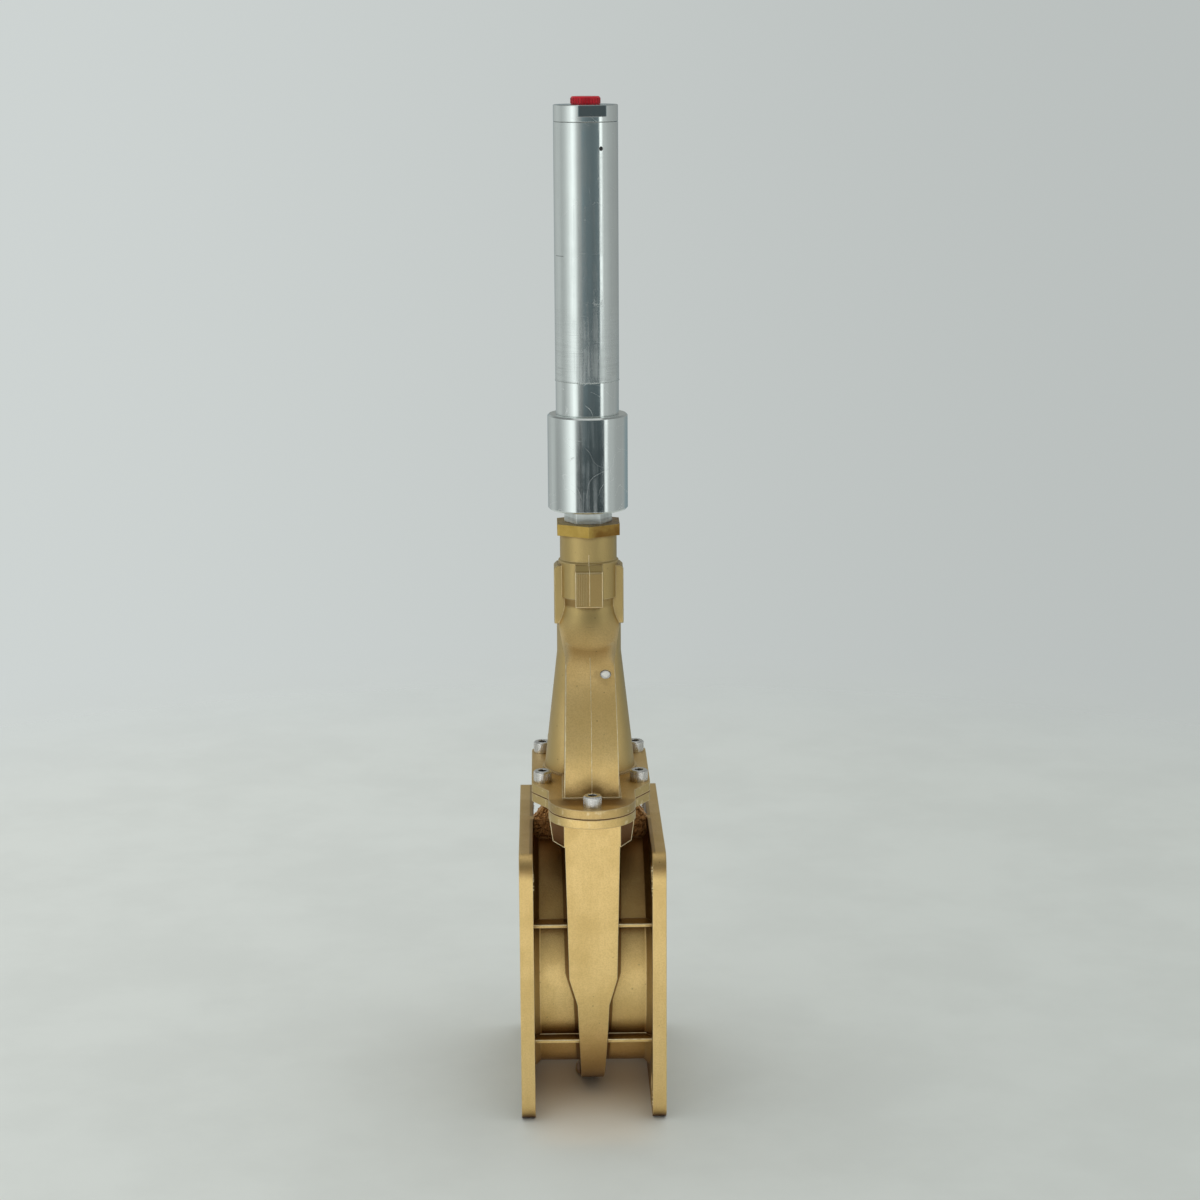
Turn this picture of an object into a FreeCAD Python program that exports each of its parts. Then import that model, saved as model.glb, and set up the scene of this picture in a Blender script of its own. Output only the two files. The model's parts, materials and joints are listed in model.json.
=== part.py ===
# Hydraulic slide gate valve. A round steel gate rises out of a brass body into
# a tall brass bonnet, pulled by the rod of a hydraulic cylinder on top.
# X runs along the pipe, Y across it and Z up, in millimetres. The origin is the
# middle of the footprint: the valve stands on the edges of its two flanges.
import FreeCAD, Part
import os
import Sketcher
from math import acos, pi, sin

doc = FreeCAD.newDocument("slide_gate_valve")


# Driving dimensions
sheet = doc.addObject("Spreadsheet::Sheet", "Sizes")
SIZES = [
    # pipe body
    ("bore", 150.0, "bore of the pipe"),
    ("pipe_wall", 10.0, "wall of the pipe stubs"),
    ("seat_overlap", 5.0, "how far the gate covers its seat all round"),
    ("gate_edge_gap", 3.0, "room round the edge of the gate"),
    ("rim_wall", 15.0, "wall of the gate housing round the gate"),
    ("foot_gap", 2.0, "height of the gate housing above the floor"),
    ("face_to_face", 105.0, "length over the two pipe flanges"),
    ("flange_thickness", 10.0, "thickness of a pipe flange"),
    ("flange_corner", 12.0, "corner radius of a pipe flange"),
    ("neck_flare", 4.0, "slope where the pipe meets its flange"),
    ("bolt_spacing", 160.0, "pitch of the four flange bolts, both ways"),
    ("bolt_hole", 18.0, "flange bolt hole"),
    ("housing_top_width", 40.0, "gate housing under its top flange"),
    ("housing_shoulder_width", 34.4, "gate housing at its shoulder"),
    ("shoulder_rise", 8.0, "shoulder of the housing above the pipe axis"),
    ("housing_waist_width", 22.8, "gate housing below its shoulder"),
    ("waist_drop", 12.0, "waist of the housing below the pipe axis"),
    ("housing_foot_width", 16.0, "gate housing at its lowest point"),
    ("nose_round", 4.5, "rounding of the housing's lowest corners"),
    ("mouth_depth", 19.5, "height of the widened mouth of the housing"),
    ("mouth_foot_width", 55.6, "mouth at its foot"),
    ("mouth_head_width", 61.0, "mouth under the top flange"),
    ("mouth_taper", 16.0, "length of the slanted ends of the mouth"),
    ("mouth_wall", 7.0, "wall of the mouth"),
    ("rib_thickness", 2.5, "horizontal ribs beside the pipe"),
    ("rib_rise", 45.0, "ribs above and below the pipe axis"),
    ("web_thickness", 6.0, "upright web between housing and flange"),
    ("web_rise", 21.0, "web above the top of the pipe flanges"),
    ("joint_rise", 34.8, "joint face above the round of the housing"),
    # plates of the bolted joint
    ("lid_thickness", 6.3, "each flange of the bolted joint"),
    ("lid_end_radius", 31.0, "round ends of the joint flanges"),
    ("end_rim", 12.0, "joint flanges past the end screws"),
    ("ear_rim", 8.0, "ears past the side screws"),
    ("ear_length", 47.0, "ears from the middle to their corner"),
    ("ear_slope_end", 67.0, "ears from the middle to where they end"),
    ("ear_corner", 9.0, "corner radius of the ears"),
    ("gasket_thickness", 0.8, "joint gasket"),
    ("screw_size", 8.0, "screws of the joint"),
    ("screw_play", 1.0, "screw holes of bonnet and gasket over the screw"),
    ("screw_length", 16.0, "screws under the head"),
    ("screw_head_width", 13.0, "screw head diameter"),
    ("screw_head_height", 8.0, "screw head height"),
    ("screw_socket", 6.0, "hexagon socket across flats"),
    ("screw_socket_depth", 4.0, "hexagon socket depth"),
    ("screw_edge", 0.8, "chamfer of the screws"),
    ("end_screw_gap", 9.5, "end screws from the front of the housing"),
    ("side_screw_gap", 4.5, "side screws from the side of the mouth"),
    ("side_screw_inset", 6.0, "side screws from the corners of the ears, along Y"),
    # gate and its lift
    ("gate_thickness", 8.0, "gate blade"),
    ("gate_side_gap", 0.5, "room on each side of the blade"),
    ("gate_edge", 1.2, "chamfer round the blade"),
    ("seal_width", 4.5, "gate seal, radial"),
    ("seal_thickness", 4.0, "gate seal, let into the body"),
    ("seal_gap", 0.05, "running gap between seal and blade"),
    ("tongue_width", 22.0, "tongue on top of the blade"),
    ("tongue_height", 16.0, "tongue above the blade"),
    ("pin_drop", 6.5, "clevis pin below the top of the tongue"),
    ("pin_size", 8.0, "clevis pin diameter"),
    ("clevis_width", 26.0, "clevis diameter"),
    ("clevis_lift", 2.5, "clevis above the round of the blade"),
    ("clevis_crown", 9.0, "clevis above the tongue"),
    ("clevis_slot_gap", 0.15, "clevis slot beside the tongue"),
    ("rod_size", 14.0, "piston rod diameter"),
    ("rod_foot_size", 12.0, "threaded foot of the rod"),
    ("rod_tip_size", 10.0, "threaded tip of the rod"),
    ("thread_gap", 0.1, "gap left in a screwed or seated joint"),
    ("running_gap", 0.05, "gap of a sliding fit"),
    # bonnet
    ("dome_wall", 6.0, "wall of the bonnet's dome"),
    ("dome_foot_width", 39.0, "dome at its foot"),
    ("dome_head_width", 34.6, "dome at its crown"),
    ("bead_height", 1.2, "bead round the foot of the bonnet"),
    ("bead_width", 1.2, "width of the bead"),
    ("tower_foot_width", 66.8, "round tower at its foot"),
    ("tower_throat_width", 47.0, "round tower at its throat"),
    ("throat_rise", 88.0, "throat of the tower above its foot"),
    ("throat_length", 20.0, "straight length of the throat"),
    ("throat_taper", 6.5, "height of the slope above the throat"),
    ("waist_width", 40.6, "tower between the throat and the boss"),
    ("cove_radius", 40.0, "hollow curve between the dome and the boss"),
    ("cove_neck_width", 40.0, "hollow curve where it is narrowest"),
    ("cove_sink", 1.0, "hollow curve let into the dome"),
    ("core_foot_width", 44.0, "hollow of the tower at its foot"),
    ("chamber_width", 31.0, "hollow of the tower round the clevis"),
    ("head_room", 1.5, "room above the raised clevis"),
    ("boss_lift", 8.2, "boss above the hollow of the tower"),
    ("boss_width", 44.0, "round boss"),
    ("boss_height", 26.3, "round boss"),
    ("neck_width", 41.4, "neck above the boss"),
    ("wrench_pad_width", 20.0, "pads on the boss"),
    ("wrench_pad_reach", 25.0, "pads from the stem axis"),
    ("side_pad_height", 43.0, "pads on the left and right"),
    ("side_pad_drop", 19.5, "left and right pads below the boss"),
    ("front_pad_height", 27.2, "pads at the front and back"),
    ("front_pad_drop", 5.0, "front and back pads below the boss"),
    ("pad_slope", 2.0, "chamfer on top of the pads"),
    ("vent_size", 7.6, "vent plug in the dome"),
    ("vent_sink", 0.5, "vent plug below the face of the dome"),
    ("vent_socket", 3.5, "hexagon socket of the vent plug across corners"),
    ("vent_socket_depth", 2.0, "hexagon socket of the vent plug"),
    ("vent_across", 10.8, "vent plug from the middle, along X"),
    ("vent_tilt", 50.0, "vent plug above the horizontal, degrees"),
    # stem packing
    ("bush_width", 21.0, "guide bush"),
    ("bush_length", 12.0, "guide bush under its collar"),
    ("bush_collar", 2.0, "collar of the guide bush"),
    ("packing_width", 25.0, "packing rings"),
    ("packing_height", 5.4, "one packing ring"),
    ("follower_height", 4.3, "ring between the packing and its nut"),
    ("gland_thread", 30.0, "threaded part of the packing nut"),
    ("gland_depth", 20.0, "packing nut inside the neck"),
    ("gland_flats", 45.3, "packing nut across flats"),
    ("gland_head", 8.3, "hexagon of the packing nut"),
    ("nipple_size", 20.0, "threaded nipple"),
    ("nipple_hole_gap", 0.5, "nipple round the rod"),
    ("nipple_engagement", 12.0, "nipple inside the packing nut"),
    ("lock_flats", 30.0, "lock nut across flats"),
    ("lock_height", 9.7, "lock nut"),
    ("nut_bevel", 30.0, "bevel of the nuts' corners, degrees"),
    # cylinder
    ("sleeve_width", 58.0, "lower cylinder head"),
    ("sleeve_height", 69.3, "lower cylinder head"),
    ("sleeve_edge", 1.2, "chamfer of the lower cylinder head"),
    ("sleeve_floor", 10.0, "floor of the lower cylinder head"),
    ("rod_gland_width", 36.0, "rod gland"),
    ("rod_gland_height", 18.0, "rod gland"),
    ("rod_seal_width", 22.0, "rod seal and wiper, outside"),
    ("rod_seal_height", 6.0, "rod seal"),
    ("rod_seal_rise", 7.5, "rod seal above the floor of the gland"),
    ("wiper_height", 4.0, "rod wiper"),
    ("circlip_width", 38.6, "circlip over the rod gland"),
    ("circlip_inside", 31.0, "opening of the circlip"),
    ("circlip_thickness", 1.5, "circlip"),
    ("oring_section", 2.5, "thickness of the O-rings"),
    ("oring_side_gap", 0.25, "groove on each side of an O-ring"),
    ("port_size", 16.7, "threaded oil port"),
    ("port_rise", 40.6, "side port above the foot of the lower head"),
    ("port_face", 26.6, "flat round the side port, from the axis"),
    ("port_face_width", 22.4, "flat round the side port"),
    ("socket_step", 0.2, "collar below the face of the tube"),
    ("socket_height", 24.2, "collar that holds the tube"),
    ("socket_spigot", 40.0, "spigot of the collar"),
    ("socket_spigot_depth", 14.0, "spigot inside the lower head"),
    ("socket_passage", 28.0, "oil passage through the collar"),
    ("tube_width", 46.0, "cylinder tube, outside"),
    ("tube_wall", 5.0, "wall of the cylinder tube"),
    ("tube_foot_step", 2.5, "step of the tube's turned-down foot"),
    ("tube_foot_depth", 22.0, "foot of the tube inside its collar"),
    ("tube_edge", 0.5, "chamfer at the ends of the tube"),
    ("piston_gap", 3.0, "piston above the foot of the tube"),
    ("piston_play", 0.3, "room beside the piston body"),
    ("piston_height", 16.0, "piston"),
    ("piston_groove_depth", 3.2, "piston's grooves"),
    ("piston_seal_height", 5.0, "piston seal"),
    ("guide_ring_height", 4.0, "piston guide ring"),
    ("groove_land", 2.2, "piston below its lower groove"),
    ("piston_nut_flats", 16.0, "piston nut across flats"),
    ("piston_nut_height", 6.0, "piston nut"),
    ("rod_tip", 1.5, "rod above the piston nut"),
    ("cap_gap", 2.0, "cap above the raised rod"),
    ("cap_spigot_depth", 22.2, "cap inside the tube"),
    ("cap_height", 11.6, "cap above the tube"),
    ("cap_flat_depth", 2.4, "spanner flats of the cap, below its face"),
    ("cap_flat_height", 8.0, "spanner flats of the cap"),
    ("cap_turn", 12.7, "spanner flats turned from the front, degrees"),
    ("port_depth", 10.0, "oil port in the cap"),
    ("passage_size", 8.0, "oil passage below the port"),
    ("lock_screw_size", 2.8, "screw that locks the cap"),
    ("lock_screw_drop", 18.5, "screw below the top of the tube"),
    ("lock_screw_turn", 27.0, "screw turned from the front, degrees"),
    ("lock_screw_sink", 0.3, "screw below the face of the tube"),
    ("plug_width", 20.9, "plastic port plug"),
    ("plug_head", 5.6, "plug above its port"),
    ("plug_shank", 8.0, "plug inside its port"),
    ("plug_wall", 1.8, "wall of the hollow plug"),
    ("plug_gap", 0.3, "plug beside its port"),
    ("plug_edge", 0.8, "chamfer of the plug's head"),
    ("cut_beyond", 1.0, "cutting sketches past the metal that they cut"),
]
for row, (alias, number, note) in enumerate(SIZES, start=1):
    sheet.set(f"A{row}", note)
    sheet.set(f"B{row}", str(number))
    sheet.setAlias(f"B{row}", alias)
doc.recompute()


def size(alias):
    """Expression that reads one cell of the sheet."""
    return f"Sizes.{alias}"


# Sizes and levels worked out from the driving dimensions
GATE_RADIUS = "(Sizes.bore / 2 + Sizes.seat_overlap)"
CAVITY_RADIUS = f"({GATE_RADIUS} + Sizes.gate_edge_gap)"
HOUSING_RADIUS = f"({CAVITY_RADIUS} + Sizes.rim_wall)"
AXIS = f"({HOUSING_RADIUS} + Sizes.foot_gap)"
FLANGE_SIDE = f"(2 * {AXIS})"
FLANGE_INSIDE = "(Sizes.face_to_face / 2 - Sizes.flange_thickness)"
PIPE_RADIUS = "(Sizes.bore / 2 + Sizes.pipe_wall)"
SLOT_WIDTH = "(Sizes.gate_thickness + 2 * Sizes.gate_side_gap)"
TRAVEL = "(Sizes.bore + Sizes.seat_overlap)"

JOINT = f"({AXIS} + {HOUSING_RADIUS} + Sizes.joint_rise)"
JOINT_UNDERSIDE = f"({JOINT} - Sizes.lid_thickness)"
LID_UNDERSIDE = f"({JOINT} + Sizes.gasket_thickness)"
DECK = f"({LID_UNDERSIDE} + Sizes.lid_thickness)"
MOUTH_FOOT = f"({JOINT_UNDERSIDE} - Sizes.mouth_depth)"

TONGUE_TOP = f"({AXIS} + {GATE_RADIUS} + Sizes.tongue_height)"
PIN_HEIGHT = f"({TONGUE_TOP} - Sizes.pin_drop)"
CLEVIS_FOOT = f"({AXIS} + {GATE_RADIUS} + Sizes.clevis_lift)"
CLEVIS_TOP = f"({TONGUE_TOP} + Sizes.clevis_crown)"
CHAMBER_TOP = f"({CLEVIS_TOP} + {TRAVEL} + Sizes.head_room)"
OPEN_CENTRE = f"({AXIS} + {TRAVEL})"
DOME_RADIUS = f"({CAVITY_RADIUS} + Sizes.dome_wall)"
THROAT = f"({DECK} + Sizes.throat_rise)"

BOSS_FOOT = f"({CHAMBER_TOP} + Sizes.boss_lift)"
BOSS_TOP = f"({BOSS_FOOT} + Sizes.boss_height)"
PACKING_FOOT = f"({CHAMBER_TOP} + Sizes.bush_length + Sizes.bush_collar)"
PACKING_TOP = f"({PACKING_FOOT} + 3 * Sizes.packing_height)"
GLAND_FOOT = f"({PACKING_TOP} + Sizes.follower_height)"
NECK_TOP = f"({GLAND_FOOT} + Sizes.gland_depth)"
GLAND_TOP = f"({NECK_TOP} + Sizes.gland_head)"
SLEEVE_FOOT = f"({GLAND_TOP} + Sizes.lock_height)"
SLEEVE_FLOOR = f"({SLEEVE_FOOT} + Sizes.sleeve_floor)"
ROD_GLAND_TOP = f"({SLEEVE_FLOOR} + Sizes.rod_gland_height)"
SLEEVE_TOP = f"({SLEEVE_FOOT} + Sizes.sleeve_height)"
SOCKET_TOP = f"({SLEEVE_TOP} + Sizes.socket_height)"
TUBE_FOOT = f"({SOCKET_TOP} - Sizes.tube_foot_depth)"
PISTON_FOOT = f"({TUBE_FOOT} + Sizes.piston_gap)"
PISTON_TOP = f"({PISTON_FOOT} + Sizes.piston_height)"
ROD_TOP = f"({PISTON_TOP} + Sizes.piston_nut_height + Sizes.rod_tip)"
CAP_FOOT = f"({ROD_TOP} + {TRAVEL} + Sizes.cap_gap)"
TUBE_TOP = f"({CAP_FOOT} + Sizes.cap_spigot_depth)"
CAP_TOP = f"({TUBE_TOP} + Sizes.cap_height)"
END_SCREW = f"({HOUSING_RADIUS} + Sizes.end_screw_gap)"
LID_END = f"({END_SCREW} + Sizes.end_rim)"
SIDE_SCREW = "(Sizes.mouth_head_width / 2 + Sizes.side_screw_gap)"
EAR_SIDE = f"({SIDE_SCREW} + Sizes.ear_rim)"
TUBE_BORE = "(Sizes.tube_width - 2 * Sizes.tube_wall)"
PISTON_WIDTH = f"({TUBE_BORE} - 2 * Sizes.piston_play)"
PISTON_GROOVE = f"({PISTON_WIDTH} - 2 * Sizes.piston_groove_depth)"
SCREW_HOLE = "(Sizes.screw_size + Sizes.screw_play)"
RUNNING_BORE = "(Sizes.rod_size + 2 * Sizes.running_gap)"
ORING_GROOVE = "(Sizes.oring_section + 2 * Sizes.oring_side_gap)"

# How far a cutting sketch reaches past the metal that it cuts
BEYOND = "Sizes.cut_beyond"

parts = []


def value(expression):
    """Number that an expression gives with the present sizes."""
    return float(sheet.evalExpression(expression))


def keep(shape_object, label):
    """Count an object as one finished sub-part of the valve."""
    shape_object.Label = label
    parts.append(shape_object)
    return shape_object


# Sketches
def new_body(name):
    return doc.addObject("PartDesign::Body", name)


def origin_plane(body, role):
    return next(f for f in body.Origin.OriginFeatures if f.Role == role)


def new_sketch(body, name, plane, offset="0"):
    """Sketch on one of the body's own planes, moved along its normal."""
    sketch = body.newObject("Sketcher::SketchObject", name)
    sketch.AttachmentSupport = [(origin_plane(body, plane), "")]
    sketch.MapMode = "FlatFace"
    sketch.setExpression("AttachmentOffset.Base.z", offset)
    return sketch


def pin(sketch, geometry, point, across, up):
    """Fix one point of a sketch at two expressions."""
    for kind, axis_line, expression in (("DistanceX", -2, across), ("DistanceY", -1, up)):
        if expression == "0":
            sketch.addConstraint(Sketcher.Constraint("PointOnObject", geometry, point, axis_line))
            continue
        number = value(expression)
        index = sketch.addConstraint(Sketcher.Constraint(kind, -1, 1, geometry, point, number))
        sketch.setExpression(f"Constraints[{index}]", expression)


def draw_outline(sketch, corners):
    """Closed outline of straight edges through (across, up) corners."""
    points = [FreeCAD.Vector(value(across), value(up), 0) for across, up in corners]
    count = len(points)
    first = sketch.GeometryCount
    for index in range(count):
        edge = Part.LineSegment(points[index], points[(index + 1) % count])
        sketch.addGeometry(edge, False)
    for index in range(count):
        following = first + (index + 1) % count
        sketch.addConstraint(Sketcher.Constraint("Coincident", first + index, 2, following, 1))
    for index, (across, up) in enumerate(corners):
        pin(sketch, first + index, 1, across, up)


def draw_circle(sketch, diameter, across="0", up="0"):
    centre = FreeCAD.Vector(value(across), value(up), 0)
    circle = Part.Circle(centre, FreeCAD.Vector(0, 0, 1), value(diameter) / 2)
    index = sketch.addGeometry(circle, False)
    pin(sketch, index, 3, across, up)
    width = sketch.addConstraint(Sketcher.Constraint("Diameter", index, value(diameter)))
    sketch.setExpression(f"Constraints[{width}]", diameter)


def draw_arch(sketch, radius, centre, end):
    """Two upright sides that end in a half circle round a centre on the middle
    line. The flat end lies at the other height, above or below the circle."""
    r = value(radius)
    middle = value(centre)
    flat = value(end)
    up = 1 if flat > middle else -1
    axis = FreeCAD.Vector(0, 0, 1)
    full = Part.Circle(FreeCAD.Vector(0, middle, 0), axis, r)
    start_angle, end_angle = (pi, 2 * pi) if up > 0 else (0, pi)
    arc = Part.ArcOfCircle(full, start_angle, end_angle)
    first_side = FreeCAD.Vector(-up * r, middle, 0)
    second_side = FreeCAD.Vector(up * r, middle, 0)
    first_end = FreeCAD.Vector(-up * r, flat, 0)
    second_end = FreeCAD.Vector(up * r, flat, 0)
    a = sketch.addGeometry(arc, False)
    b = sketch.addGeometry(Part.LineSegment(second_side, second_end), False)
    c = sketch.addGeometry(Part.LineSegment(second_end, first_end), False)
    d = sketch.addGeometry(Part.LineSegment(first_end, first_side), False)
    sketch.addConstraint(Sketcher.Constraint("Tangent", a, 2, b, 1))
    sketch.addConstraint(Sketcher.Constraint("Coincident", b, 2, c, 1))
    sketch.addConstraint(Sketcher.Constraint("Coincident", c, 2, d, 1))
    sketch.addConstraint(Sketcher.Constraint("Tangent", d, 2, a, 1))
    sketch.addConstraint(Sketcher.Constraint("Vertical", b))
    sketch.addConstraint(Sketcher.Constraint("Vertical", d))
    sketch.addConstraint(Sketcher.Constraint("Horizontal", c))
    pin(sketch, a, 3, "0", centre)
    index = sketch.addConstraint(Sketcher.Constraint("Radius", a, r))
    sketch.setExpression(f"Constraints[{index}]", radius)
    index = sketch.addConstraint(Sketcher.Constraint("DistanceY", -1, 1, c, 1, flat))
    sketch.setExpression(f"Constraints[{index}]", end)


def box_corners(half_across, low, high):
    """Corners of a rectangle that is centred on the middle line."""
    left = f"-({half_across})"
    return [(left, low), (half_across, low), (half_across, high), (left, high)]


def hexagon_corners(flats, corner_forward):
    """Corners of a hexagon. One corner or one flat faces the front."""
    half = f"{flats} / 2"
    reach = f"{flats} / sqrt(3)"
    side = f"{flats} / (2 * sqrt(3))"
    if corner_forward:
        return [("0", f"-{reach}"), (half, f"-{side}"), (half, side),
                ("0", reach), (f"-{half}", side), (f"-{half}", f"-{side}")]
    return [(f"-{reach}", "0"), (f"-{side}", f"-{half}"), (side, f"-{half}"),
            (reach, "0"), (side, half), (f"-{side}", half)]


# Features
def pad(body, sketch, length, symmetric=False, downward=False):
    feature = body.newObject("PartDesign::Pad", sketch.Name + "_pad")
    feature.Profile = sketch
    feature.setExpression("Length", length)
    feature.SideType = "Symmetric" if symmetric else "One side"
    feature.Reversed = downward
    sketch.Visibility = False
    return feature


def pocket(body, sketch, length, symmetric=False, forward=False):
    """Cut against the sketch's normal, or along it when forward is true."""
    doc.recompute()
    before = body.Shape.Volume
    feature = body.newObject("PartDesign::Pocket", sketch.Name + "_cut")
    feature.Profile = sketch
    feature.setExpression("Length", length)
    feature.SideType = "Symmetric" if symmetric else "One side"
    feature.Reversed = forward
    doc.recompute()
    if not body.Shape.Volume < before:
        raise ValueError(f"{feature.Name} cut nothing")
    return feature


def revolve(body, sketch):
    feature = body.newObject("PartDesign::Revolution", sketch.Name + "_turned")
    feature.Profile = sketch
    feature.ReferenceAxis = (sketch, ["V_Axis"])
    feature.Angle = 360
    return feature


def groove(body, sketch):
    doc.recompute()
    before = body.Shape.Volume
    feature = body.newObject("PartDesign::Groove", sketch.Name + "_bored")
    feature.Profile = sketch
    feature.ReferenceAxis = (sketch, ["V_Axis"])
    feature.Angle = 360
    doc.recompute()
    if not body.Shape.Volume < before:
        raise ValueError(f"{feature.Name} cut nothing")
    return feature


def mirror(body, features, role):
    """Repeat features on the other side of one of the body's planes."""
    feature = body.newObject("PartDesign::Mirrored", features[0].Name + "_mirrored")
    feature.Originals = features
    feature.MirrorPlane = (origin_plane(body, role), [""])
    body.Tip = feature
    doc.recompute()
    return feature


def edges_where(shape_object, wanted):
    """Names of the edges whose middle point and ends pass a test."""
    doc.recompute()
    names = []
    for index, edge in enumerate(shape_object.Shape.Edges, start=1):
        if edge.Length > 0 and wanted(edge):
            names.append(f"Edge{index}")
    if not names:
        raise ValueError(f"no edge found on {shape_object.Name}")
    return names


def dress(body, kind, name, wanted, size_name):
    """Fillet or chamfer the chosen edges of the body as it is so far."""
    base = body.Tip
    names = edges_where(base, wanted)
    feature = body.newObject(f"PartDesign::{kind}", name)
    feature.Base = (base, names)
    feature.setExpression("Radius" if kind == "Fillet" else "Size", size_name)
    doc.recompute()
    return feature


def near(number, expression, slack=0.01):
    return abs(number - value(expression)) < slack


def is_circle(edge, diameter, height):
    """True for a full or part circle of a diameter that lies flat at a height."""
    curve = edge.Curve
    if not isinstance(curve, Part.Circle):
        return False
    flat = abs(abs(curve.Axis.z) - 1) < 1e-6
    return flat and near(2 * curve.Radius, diameter) and near(curve.Center.z, height)


def turned(name, corners, height="0"):
    """Body turned round the stem axis. Corners are (radius, height) pairs."""
    body = new_body(name)
    sketch = new_sketch(body, name + "_profile", "XZ_Plane")
    draw_outline(sketch, corners)
    revolve(body, sketch)
    body.setExpression("Placement.Base.z", height)
    return body


def ring_corners(outside, inside, height):
    """Corners of a plain ring that stands on its own zero height."""
    outer = f"({outside}) / 2"
    inner = f"({inside}) / 2"
    return [(inner, "0"), (outer, "0"), (outer, height), (inner, height)]


# Plates of the bolted joint: both flanges and the gasket share one outline.
def joint_plate(body, name, height, thickness):
    end_centre = f"({LID_END} - Sizes.lid_end_radius)"
    side = "Sizes.lid_end_radius"
    path = [(side, end_centre), (side, "Sizes.ear_slope_end"), (EAR_SIDE, "Sizes.ear_length")]
    right = [(across, f"-{along}") for across, along in path]
    right += [(across, along) for across, along in reversed(path)]
    left = [(f"-{across}", along) for across, along in path]
    left += [(f"-{across}", f"-{along}") for across, along in reversed(path)]
    plate = new_sketch(body, name + "_plate", "XY_Plane", height)
    draw_outline(plate, right + left)
    pad(body, plate, thickness)
    ends = new_sketch(body, name + "_ends", "XY_Plane", height)
    draw_circle(ends, f"2 * {side}", "0", end_centre)
    draw_circle(ends, f"2 * {side}", "0", f"-{end_centre}")
    pad(body, ends, thickness)


def round_ears(body, name, height):
    """Round the upright corners of a joint plate's ears."""
    level = value(height)

    def ear_edge(edge):
        if len(edge.Vertexes) != 2:
            return False
        start, end = (vertex.Point for vertex in edge.Vertexes)
        upright = abs(start.x - end.x) < 1e-6 and abs(start.y - end.y) < 1e-6
        corner = near(abs(start.x), EAR_SIDE) and near(abs(start.y), size("ear_length"))
        foot = near(abs(start.x), size("lid_end_radius")) and near(abs(start.y), size("ear_slope_end"))
        return upright and (corner or foot) and min(start.z, end.z) > level - 0.01

    dress(body, "Fillet", name, ear_edge, size("ear_corner"))


def screw_circles(body, name, height, diameter):
    """Sketch with one circle for each screw of the joint."""
    sketch = new_sketch(body, name, "XY_Plane", height)
    for sign in ("", "-"):
        draw_circle(sketch, diameter, "0", f"{sign}{END_SCREW}")
        for other in ("", "-"):
            draw_circle(sketch, diameter, f"{sign}{SIDE_SCREW}",
                        f"{other}(Sizes.ear_length - Sizes.side_screw_inset)")
    return sketch


def mouth_opening(body, name, height):
    """Sketch of the opening that leads from the body's mouth to the bonnet."""
    sketch = new_sketch(body, name, "XY_Plane", height)
    wide = "(Sizes.mouth_foot_width / 2 - Sizes.mouth_wall)"
    narrow = "(Sizes.housing_top_width / 2 - Sizes.mouth_wall)"
    far = CAVITY_RADIUS
    shoulder = f"({HOUSING_RADIUS} - Sizes.mouth_taper - Sizes.mouth_wall)"
    draw_outline(sketch, [
        (narrow, f"-{far}"), (wide, f"-{shoulder}"), (wide, shoulder), (narrow, far),
        (f"-{narrow}", far), (f"-{wide}", shoulder), (f"-{wide}", f"-{shoulder}"),
        (f"-{narrow}", f"-{far}")])
    return sketch


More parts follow.
